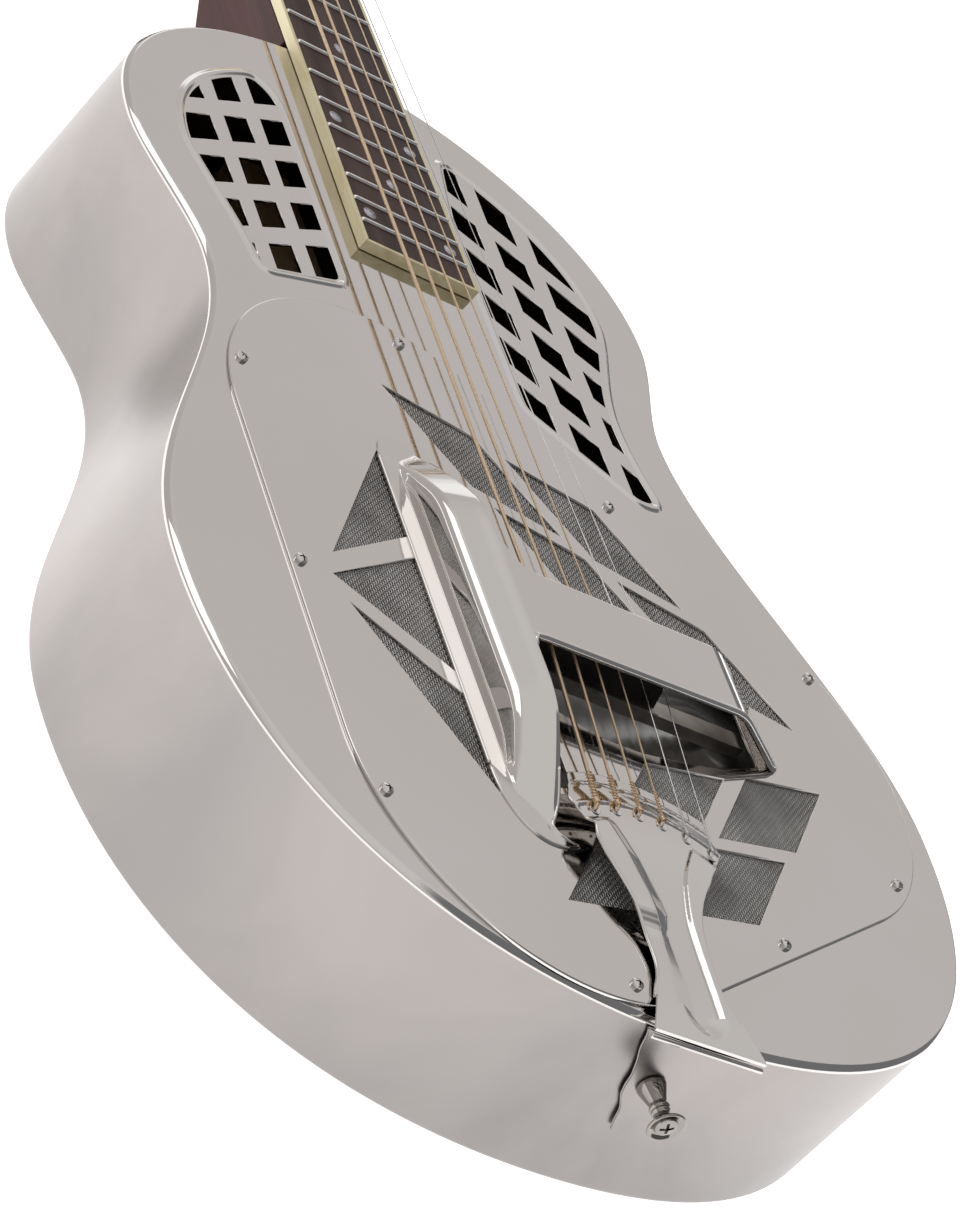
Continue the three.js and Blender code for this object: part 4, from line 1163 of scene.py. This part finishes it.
def make_fretboard(board, cream, fret_wire, inlay):
    inner = BINDING + 0.1
    end = BOARD_END + inner
    build = Build()
    build.box((-1, 0, 0), (1, 1, 1))
    for i, (x, y, z) in enumerate(build.points):
        place_y = end if y == 0 else SCALE
        build.points[i] = (x * (board_half(place_y) - inner), place_y,
                           BOARD_TOP - 0.15 if z else BOARD_BASE + 0.2)
    make_piece("fretboard_wood", build, board, ["fretboard"])
    frets = Build()
    for number in range(1, FRETS + 1):
        y = fret_at(number)
        half = board_half(y) - inner + 0.1
        loops = []
        for x, drop in ((-half, 0.55), (-half + 0.5, 0.1), (-half + 1.1, 0), (half - 1.1, 0),
                        (half - 0.5, 0.1),
                        (half, 0.55)):
            loop = []
            for k in range(9):
                a = math.pi * k / 8
                loop.append((x, y - 1.05 * math.cos(a),
                             BOARD_TOP - 0.25 + max(1.15 * math.sin(a) - drop, 0.05)))
            loops.append(loop)
        made = frets.rings(loops)
        frets.cap(made[0])
        frets.cap(made[-1])
    make_piece("fret_wires", frets, fret_wire)
    dots = Build()
    spots = [(0, 5), (-11, 7), (11, 7), (0, 9), (0, 12), (-18.8, 15), (18.8, 15), (0, 17), (-20, 19),
             (20, 19)]
    for x, number in spots:
        y = (fret_at(number) + fret_at(number - 1)) / 2
        dots.turned([(0.2, 0), (2.9, 0), (2.9, 0.1), (0.2, 0.12)],
                    Matrix.Translation((x, y, BOARD_TOP - 0.15)), 32)
    make_piece("position_dots", dots, inlay)
    rim = Build()
    for side in (-1, 1):
        corners = [(side * board_half(BOARD_END), BOARD_END), (side * board_half(SCALE), SCALE),
                   (side * (board_half(SCALE) - BINDING), SCALE),
                   (side * (board_half(BOARD_END + BINDING) - BINDING), BOARD_END + BINDING)]
        low = rim.ring(raised(corners, BOARD_BASE))
        high = rim.ring(raised(corners, BOARD_TOP))
        rim.strip(low, high, smooth=False)
        rim.cap(low, True)
        rim.cap(high)
    half = board_half(BOARD_END) - 0.06
    corners = [(-half, BOARD_END), (half, BOARD_END), (half - BINDING, BOARD_END + BINDING - 0.06),
               (BINDING - half, BOARD_END + BINDING - 0.06)]
    low = rim.ring(raised(corners, BOARD_BASE))
    high = rim.ring(raised(corners, BOARD_TOP))
    rim.strip(low, high, smooth=False)
    rim.cap(low, True)
    rim.cap(high)
    bevel(make_piece("board_binding", rim, cream, ["fretboard_binding"]), 0.22, 2)


def head_place():
    return Matrix.Translation((0, HEAD_START, DEPTH)) @ Matrix.Rotation(-HEAD_ANGLE, 4, "X")


def solid_object(name, build):
    mesh = bpy.data.meshes.new(name)
    mesh.from_pydata([(x * MM, y * MM, z * MM) for x, y, z in build.points], [], build.faces)
    work = bmesh.new()
    work.from_mesh(mesh)
    bmesh.ops.recalc_face_normals(work, faces=work.faces)
    work.to_mesh(mesh)
    work.free()
    made = bpy.data.objects.new(name, mesh)
    bpy.context.scene.collection.objects.link(made)
    return made


def extruded(loop, low, high, lift):
    """A closed outline stretched between two levels; lift(a, b, level) places a corner."""
    build = Build()
    first = build.ring([lift(a, b, low) for a, b in loop])
    second = build.ring([lift(a, b, high) for a, b in loop])
    build.strip(first, second, smooth=False)
    build.cap(first, True)
    build.cap(second)
    return build


def combined(target, tool, operation):
    """Applies a boolean to the target and removes the tool."""
    change = target.modifiers.new("shape", "BOOLEAN")
    change.operation = operation
    change.object = tool
    change.solver = "EXACT"
    graph = bpy.context.evaluated_depsgraph_get()
    mesh = bpy.data.meshes.new_from_object(target.evaluated_get(graph))
    target.modifiers.clear()
    target.data = mesh
    bpy.data.objects.remove(tool)


def head_slot_loop(side):
    ends = arc((16, 28), 8, 180, 360, 14) + arc((16, 146), 8, 0, 180, 14)
    return anticlockwise([(side * x, y) for x, y in ends])


def curve_through(points, per_span):
    """A smooth line through the given corners."""
    made = []
    for i in range(len(points) - 1):
        p0, p1, p2, p3 = (Vector(points[min(max(k, 0), len(points) - 1)])
                          for k in (i - 1, i, i + 1, i + 2))
        for step in range(per_span):
            t = step / per_span
            made.append(tuple(0.5 * (2 * p1 + (p2 - p0) * t + (2 * p0 - 5 * p1 + 4 * p2 - p3) * t * t
                                     + (3 * p1 - p0 - 3 * p2 + p3) * t ** 3)))
    made.append(tuple(points[-1]))
    return made


def make_neck(material):
    heel = [(BODY_NECK + 0.6, DEPTH - 67), (328, DEPTH - 65), (340, DEPTH - 59.5), (352, DEPTH - 52),
            (365, DEPTH - 44), (377, DEPTH - 37.5), (388, DEPTH - 31.5), (399, DEPTH - 27.5),
            (412, DEPTH - 25.5), (430, DEPTH - 25)]
    shank = [(662, DEPTH - 23)]

    def on_head(s, drop):
        place = head_place() @ Vector((0, s, -drop))
        return place.y, place.z

    under_head = [on_head(34, HEAD_THICK), on_head(HEAD_LENGTH, HEAD_THICK), on_head(HEAD_LENGTH, 0)]
    side = ([(BODY_NECK + 0.6, DEPTH)] + curve_through(heel, 5) + shank + under_head
            + [(HEAD_START, DEPTH)])
    neck = solid_object("neck_carved", extruded(side, -45, 45, lambda a, b, level: (level, a, b)))
    tip = HEAD_START + HEAD_LENGTH * math.cos(HEAD_ANGLE) + 5
    shoulder = curve_through([(board_half(SCALE), SCALE + 6), (22.2, 648), (25, 654), (30, 659),
                              (HEAD_HALF, 667)], 5)
    crown = curve_through([(HEAD_HALF, tip - 14), (31, tip - 8.6), (22, tip - 7.2), (14, tip - 7.2),
                           (6, tip - 9.5)], 4)
    half = [(26.2, BODY_NECK), *shoulder, *crown]
    plan = half + [(-x, y) for x, y in reversed(half)]
    tool = solid_object("plan", extruded(plan, 0, 2 * DEPTH, lambda a, b, level: (a, b, level)))
    combined(neck, tool, "INTERSECT")
    for direction in (1, -1):
        place = head_place()
        slot = extruded(head_slot_loop(direction), -HEAD_THICK - 5, 5,
                        lambda a, b, level: tuple(place @ Vector((a, b, level))))
        combined(neck, solid_object("slot", slot), "DIFFERENCE")
    neck.data.materials.clear()
    neck.data.materials.append(material)
    bevel(neck, 1.8, 4, 32)
    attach(neck, "guitar")
    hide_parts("neck")


def make_headplate(material):
    half = [(25, 19), (HEAD_HALF - 1, 29), (HEAD_HALF - 1, HEAD_LENGTH - 11), (29, HEAD_LENGTH - 5),
            (14, HEAD_LENGTH - 4.4), (6, HEAD_LENGTH - 6.6)]
    loop = [(20.5, 4), *half, *[(-x, y) for x, y in reversed(half)], (-20.5, 4)]
    place = head_place()
    build = extruded(loop, 0.3, 1.6, lambda a, b, level: tuple(place @ Vector((a, b, level))))
    plate = solid_object("head_veneer", build)
    for direction in (1, -1):
        slot = extruded(offset(head_slot_loop(direction), -0.2), -5, 5,
                        lambda a, b, level: tuple(place @ Vector((a, b, level))))
        combined(plate, solid_object("slot", slot), "DIFFERENCE")
    plate.data.materials.clear()
    plate.data.materials.append(material)
    bevel(plate, 0.35, 3, 32)
    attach(plate, "guitar")
    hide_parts("headplate")


def make_nut(material):
    half = board_half(SCALE)
    profile = [(SCALE + 0.3, BOARD_BASE), (HEAD_START, BOARD_BASE), (HEAD_START, NUT_TOP - 1.6),
               (HEAD_START - 0.6, NUT_TOP - 0.5), (SCALE + 2.6, NUT_TOP), (SCALE + 0.9, NUT_TOP - 0.1),
               (SCALE + 0.3, NUT_TOP - 0.8)]
    bone = solid_object("nut_bone", extruded(profile, -half, half, lambda a, b, level: (level, a, b)))
    for i in range(6):
        groove = Build()
        x = SPREAD_NUT * (i / 5 - 0.5)
        groove.tube([(x, SCALE - 3, NUT_TOP + 0.05), (x, HEAD_START + 3, NUT_TOP - 0.35)],
                    STRING_RADII[i] + 0.08, 12)
        combined(bone, solid_object("groove", groove), "DIFFERENCE")
    bone.data.materials.clear()
    bone.data.materials.append(material)
    bevel(bone, 0.25, 2, 40)
    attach(bone, "guitar")
    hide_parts("nut")


# ---- tuning machines ----------------------------------------------------------------------------
def gear_loop():
    loop = []
    for tooth in range(GEAR_TEETH):
        for step, radius in ((-0.36, -0.85), (-0.27, -0.8), (-0.18, 0.2), (-0.11, 0.6), (0.11, 0.6),
                             (0.18, 0.2),
                             (0.27, -0.8), (0.36, -0.85)):
            angle = 2 * math.pi * (tooth + step) / GEAR_TEETH
            loop.append(((GEAR_RADIUS + radius) * math.cos(angle),
                         (GEAR_RADIUS + radius) * math.sin(angle)))
    return loop


def make_roller(number, side, y, metal, bone):
    place = head_place() @ Matrix.Translation((0, y, ROLLER_DEPTH))
    wheel = extruded(gear_loop(), side * (GEAR_X - 1.2), side * (GEAR_X + 1.2),
                     lambda a, b, level: tuple(place @ Vector((level, a, b))))
    across = place @ Matrix.Rotation(math.pi / 2 * side, 4, "Y")
    wheel.turned([(0.3, GEAR_X + 1.0), (2.7, GEAR_X + 1.0), (2.7, GEAR_X + 1.8), (2.3, GEAR_X + 2.5),
                  (0.8, GEAR_X + 2.6), (0.7, GEAR_X + 2.1), (0.2, GEAR_X + 2.1)], across, 28)
    body = f"roller_{number}"
    bevel(make_piece(f"gear_{number}", wheel, metal, [f"tuner_roller_{number}"], body),
          0.15, 2, 40)
    barrel = Build()
    barrel.turned([(0.4, 3), (2.6, 3), (3.0, 3.4), (3.0, 9), (2.85, 9.4), (2.85, 22), (3.0, 22.4),
                   (3.0, GEAR_X - 1.3), (0.4, GEAR_X - 1.3)], across, 28)
    make_piece(f"barrel_{number}", barrel, bone, (), body)


def make_worm(number, side, y, metal, cream):
    place = head_place() @ Matrix.Translation((side * GEAR_X, y - WORM_OFFSET, ROLLER_DEPTH))
    turn = place @ Matrix.Rotation(math.pi / 2, 4, "Z")
    build = Build()
    sides = 28
    rings = [(-23.2, None, 0.4), (-23.2, None, 1.5), (-5.2, None, 1.5), (-5.0, None, 1.8)]
    rings += [(z, True, 0) for z in steps_between(-4.7, 4.7, LEAD / 16)]
    rings += [(5.0, None, 1.8), (5.2, None, 1.5), (7.8, None, 1.5), (8.1, None, 1.1), (8.1, None, 0.3)]
    loops = []
    for z, threaded, radius in rings:
        loop = []
        for k in range(sides):
            angle = 2 * math.pi * k / sides
            if threaded:
                phase = z / LEAD - angle / (2 * math.pi) + 0.5
                from_crest = abs(phase - round(phase)) * LEAD
                flank = min(max((0.62 - from_crest) / 0.34, 0), 1)
                runout = min(max((4.5 - abs(z)) / 0.9, 0), 1)
                r = 1.8 + 1.4 * min(flank, runout)
            else:
                r = radius
            loop.append(turn @ Vector((r * math.cos(angle), r * math.sin(angle), z)))
        loops.append(loop)
    made = build.rings(loops)
    build.cap(made[0])
    build.cap(made[-1])
    body = f"button_{number}"
    make_piece(f"worm_{number}", build, metal, [f"tuner_worm_{number}"], body)
    knob = Build()
    profile = [(0.3, -35.3), (1.6, -35.3), (3.2, -34.8), (4.6, -33.8), (5.6, -32.2), (6.1, -30.2),
               (6.25, -28.2), (6.0, -26.6), (5.0, -25.4), (3.6, -24.5), (2.7, -23.9), (2.4, -23.4),
               (0.3, -23.3)]
    loops = []
    for r, h in profile:
        loop = []
        for k in range(40):
            angle = 2 * math.pi * k / 40
            wide = 1 + 0.42 * smoothstep(2.2, 6, r)
            loop.append(place @ Vector((r * math.cos(angle) * (1 - 0.18 * smoothstep(2.2, 6, r)),
                                        r * math.sin(angle) * wide, h)))
        loops.append(loop)
    made = knob.rings(loops)
    knob.cap(made[0])
    knob.cap(made[-1])
    make_piece(f"button_{number}", knob, cream, [f"tuner_button_{number}"], body)


def make_tuner_plate(side, label, metal):
    inner = side * (HEAD_HALF + 0.2)
    outer = side * (HEAD_HALF + 1.5)
    place = head_place()
    loop = (arc((34, ROLLER_DEPTH), 7.9, 90, 270, 14) + arc((150, ROLLER_DEPTH), 7.9, -90, 90, 14))
    build = extruded(loop, inner, outer, lambda a, b, level: tuple(place @ Vector((level, a, b))))
    for y in ROLLERS_AT:
        for z in (ROLLER_DEPTH + 6.5, ROLLER_DEPTH - 6.5):
            across = sorted((side * (HEAD_HALF + 1), side * (GEAR_X + 0.2)))
            build.box((across[0], y - WORM_OFFSET - 3, z - 1.1),
                      (across[1], y - WORM_OFFSET + 3, z + 1.1), place)
            post = place @ Matrix.Translation((side * GEAR_X, y - WORM_OFFSET, z))
            build.turned([(1.7, -1.1), (2.9, -1.1), (3.1, -0.9), (3.1, 0.9), (2.9, 1.1), (1.7, 1.1)],
                         post, 24)
    piece = make_piece(f"machine_plate_{label}", build, metal, [f"tuner_plate_{label}"])
    bevel(piece, 0.3, 2, 40)
    screws = Build()
    for y in (33, 70, 107, 146):
        across = place @ Matrix.Translation((outer, y, ROLLER_DEPTH))
        across = across @ Matrix.Rotation(side * math.pi / 2, 4, "Y")
        cross_head(screws, across, 2.3, 0.5, 0.8)
    make_piece(f"machine_screws_{label}", screws, metal)


# ---- strings ------------------------------------------------------------------------------------
def string_path(i):
    hole_x, hole_y = tail_hole(i)
    radius = STRING_RADII[i]
    share = i / 5 - 0.5
    nut_x = SPREAD_NUT * share
    saddle_x = SPREAD_SADDLE * share + STRING_SHIFT
    lip_y = LIP_CENTRE + math.sqrt(BEAD_REACH ** 2 - hole_x ** 2)
    lip_z = DEPTH + tail_height(hole_x, lip_y)
    hole_z = DEPTH + tail_height(hole_x, hole_y)
    points = [Vector((hole_x, hole_y - 0.4, hole_z - 1.5)), Vector((hole_x, hole_y, hole_z + 0.5)),
              Vector((hole_x, hole_y + 0.9, hole_z + 1.1 + radius)),
              Vector((hole_x, lip_y, lip_z + radius + 0.1)),
              Vector((saddle_x, COVER_Y, SADDLE_TOP + 0.2 + radius)),
              Vector((nut_x, HEAD_START + 0.4, NUT_TOP + radius - 0.1))]
    side = -1 if i < 3 else 1
    rank = i if i < 3 else 5 - i
    coil = 3.15 + radius
    roller_x = side * (20 - 3.4 * rank)
    place = head_place()
    for k in range(34):
        angle = math.pi / 2 + 0.3 - k * 2 * math.pi / 24
        points.append(place @ Vector((roller_x - side * (2 * radius + 0.1) * k / 24,
                                      ROLLERS_AT[rank] + coil * math.cos(angle),
                                      ROLLER_DEPTH + coil * math.sin(angle))))
    return points


def make_strings(bronze, steel):
    for i in range(6):
        build = Build()
        path = string_path(i)
        build.tube(path, STRING_RADII[i], 12)
        metal = bronze if i < 4 else steel
        make_piece(f"string_run_{6 - i}", build, metal, [f"string_{6 - i}"])
        twist = Build()
        core = 0.3 if i < 4 else 0.17
        start, end = path[2], path[3] + (path[4] - path[3]) * 0.15
        for phase in (0, math.pi):
            loop = []
            for k in range(90):
                t = k / 89
                base = start.lerp(path[3], t * 2) if t < 0.5 else path[3].lerp(end, t * 2 - 1)
                angle = phase + t * 2 * math.pi * 9
                spread = (STRING_RADII[i] + core) * (1 if i < 4 else 1.3)
                loop.append(base + Vector((math.cos(angle) * spread, 0, math.sin(angle) * spread)))
            twist.tube(loop, core * 0.75, 6)
        make_piece(f"string_twist_{6 - i}", twist, metal)


# ---- stage --------------------------------------------------------------------------------------
def make_floor():
    build = Build()
    build.box((-9000, -9000, -60), (9000, 9000, 0))
    mesh = bpy.data.meshes.new("floor")
    mesh.from_pydata([(x * MM, y * MM, z * MM - 0.0004) for x, y, z in build.points], [], build.faces)
    floor = bpy.data.objects.new("floor", mesh)
    material = new_material("floor_white", (0.93, 0.93, 0.925), 0.0, 0.9, Emission_Color=(1, 1, 1, 1),
                            Emission_Strength=0.9)
    shade = noise_node(material, 3, 2)
    vary_color(material, shade, [(0.3, (0.92, 0.92, 0.915)), (0.7, (0.94, 0.94, 0.935))])
    mesh.materials.append(material)
    bpy.context.scene.collection.objects.link(floor)


def make_world():
    """Pale grey surround, lighter overhead, with soft bright and dark patches.

    The wide dark patch gives the polished metal its dark edges.
    """
    world = bpy.data.worlds.new("studio")
    bpy.context.scene.world = world
    world.use_nodes = True
    tree = world.node_tree
    background = tree.nodes["Background"]
    coordinates = tree.nodes.new("ShaderNodeTexCoord")

    def lobe(direction, inner, outer):
        """1 within the inner angle of a direction, 0 beyond the outer one."""
        dot = tree.nodes.new("ShaderNodeVectorMath")
        dot.operation = "DOT_PRODUCT"
        dot.inputs[1].default_value = Vector(direction).normalized()
        tree.links.new(coordinates.outputs["Generated"], dot.inputs[0])
        spread = tree.nodes.new("ShaderNodeMapRange")
        spread.interpolation_type = "SMOOTHSTEP"
        spread.inputs["From Min"].default_value = math.cos(math.radians(outer))
        spread.inputs["From Max"].default_value = math.cos(math.radians(inner))
        tree.links.new(dot.outputs["Value"], spread.inputs["Value"])
        return spread.outputs["Result"]

    def mixed(below, color, share):
        mix = tree.nodes.new("ShaderNodeMix")
        mix.data_type = "RGBA"
        tree.links.new(share, mix.inputs["Factor"])
        if isinstance(below, tuple):
            mix.inputs["A"].default_value = (*below, 1)
        else:
            tree.links.new(below, mix.inputs["A"])
        mix.inputs["B"].default_value = (*color, 1)
        return mix.outputs["Result"]

    color = mixed((0.64, 0.61, 0.6), (0.74, 0.725, 0.715), lobe((0, 0, 1), 40, 68))
    color = mixed(color, (1.12, 1.11, 1.09), lobe((-0.3, 0.66, 0.69), 9, 14.5))
    color = mixed(color, (1.2, 1.2, 1.2), lobe((0.38, 0.886, 0.25), 5, 10))
    color = mixed(color, (0.56, 0.53, 0.52), lobe((-0.75, 0.6, 0.0), 35, 75))
    color = mixed(color, (0.2, 0.2, 0.21), lobe((0.75, -0.6, 0.25), 57, 64))
    color = mixed(color, (0.2, 0.2, 0.21), lobe((0.837, 0.543, 0.05), 10, 15.5))
    tree.links.new(color, background.inputs["Color"])
    background.inputs["Strength"].default_value = 1.0


def make_light(name, place, aim, width, height, power, color=(1, 1, 1)):
    data = bpy.data.lights.new(name, "AREA")
    data.shape = "RECTANGLE"
    data.size = width
    data.size_y = height
    data.energy = power
    data.color = color
    lamp = bpy.data.objects.new(name, data)
    lamp.location = place
    lamp.rotation_euler = (Vector(aim) - Vector(place)).to_track_quat("-Z", "Y").to_euler()
    bpy.context.scene.collection.objects.link(lamp)


def make_stage():
    make_floor()
    make_world()
    make_light("key_soft", (-2.3, 2.3, 2.7), (0, 0.1, 0), 2.2, 2.2, 18)


# ---- the guitar ---------------------------------------------------------------------------------
def dress_frame_nodes(names, material):
    for name in names:
        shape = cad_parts[name]
        shape.data.materials.clear()
        shape.data.materials.append(material)


def make_guitar():
    nickel = polished_nickel()
    plate_nickel = polished_nickel("plate_nickel", 0.67, 0.008)
    satin = satin_nickel()
    lining = inner_metal()
    rosewood = wood("rosewood", (0.022, 0.011, 0.01), (0.052, 0.025, 0.021), (0.095, 0.05, 0.042),
                    pore=0.5, gloss=0.5)
    mahogany = wood("mahogany", (0.03, 0.009, 0.008), (0.048, 0.014, 0.012), (0.07, 0.022, 0.018),
                    gloss=0.5)
    maple = wood("maple", (0.42, 0.27, 0.13), (0.56, 0.38, 0.2), (0.66, 0.48, 0.28))
    ebony = wood("ebony", (0.006, 0.005, 0.005), (0.012, 0.009, 0.008), (0.025, 0.018, 0.015))
    cream = celluloid("cream_celluloid", (0.7, 0.6, 0.33), (0.86, 0.78, 0.52))
    button = celluloid("button_celluloid", (0.78, 0.71, 0.5), (0.88, 0.83, 0.68), 0.22)
    bone = celluloid("bone", (0.7, 0.64, 0.5), (0.82, 0.78, 0.66), 0.35)
    steel = plain_steel()
    fret_wire = plain_steel("fret_nickel_silver", 0.86)
    bronze = wound_wire()
    make_body_top(plate_nickel)
    make_body_sides(satin)
    make_body_back(satin)
    make_body_lining(lining)
    make_cover_plate(plate_nickel)
    make_screens(screen_wire())
    make_cover_screws(nickel)
    make_hand_rest(nickel)
    make_tailpiece(nickel, steel)
    make_bracket(satin, nickel)
    # Base level 0.3, far below the other nickel: painted shade standing in for the dark surroundings
    # that the button reflects.
    make_strap_button(polished_nickel("button_nickel", 0.3))
    make_cones(spun_aluminium())
    dress_frame_nodes(["t_bridge"], cast_aluminium())
    dress_frame_nodes(["saddle"], ebony)
    # The soundwell takes the lining's near-black colour too: painted shade inside the body.
    dress_frame_nodes(["soundwell"], lining)
    dress_frame_nodes(["neck_stick"], maple)
    make_fretboard(rosewood, cream, fret_wire, pearl())
    make_neck(mahogany)
    make_headplate(rosewood)
    make_nut(bone)
    for side, label, first in ((-1, "bass", 1), (1, "treble", 4)):
        make_tuner_plate(side, label, nickel)
        for k, y in enumerate(ROLLERS_AT):
            make_roller(first + k, side, y, steel, bone)
            make_worm(first + k, side, y, nickel, button)
    make_strings(bronze, steel)


bpy.context.scene.view_settings.view_transform = "Standard"
make_camera()
make_stage()
make_guitar()
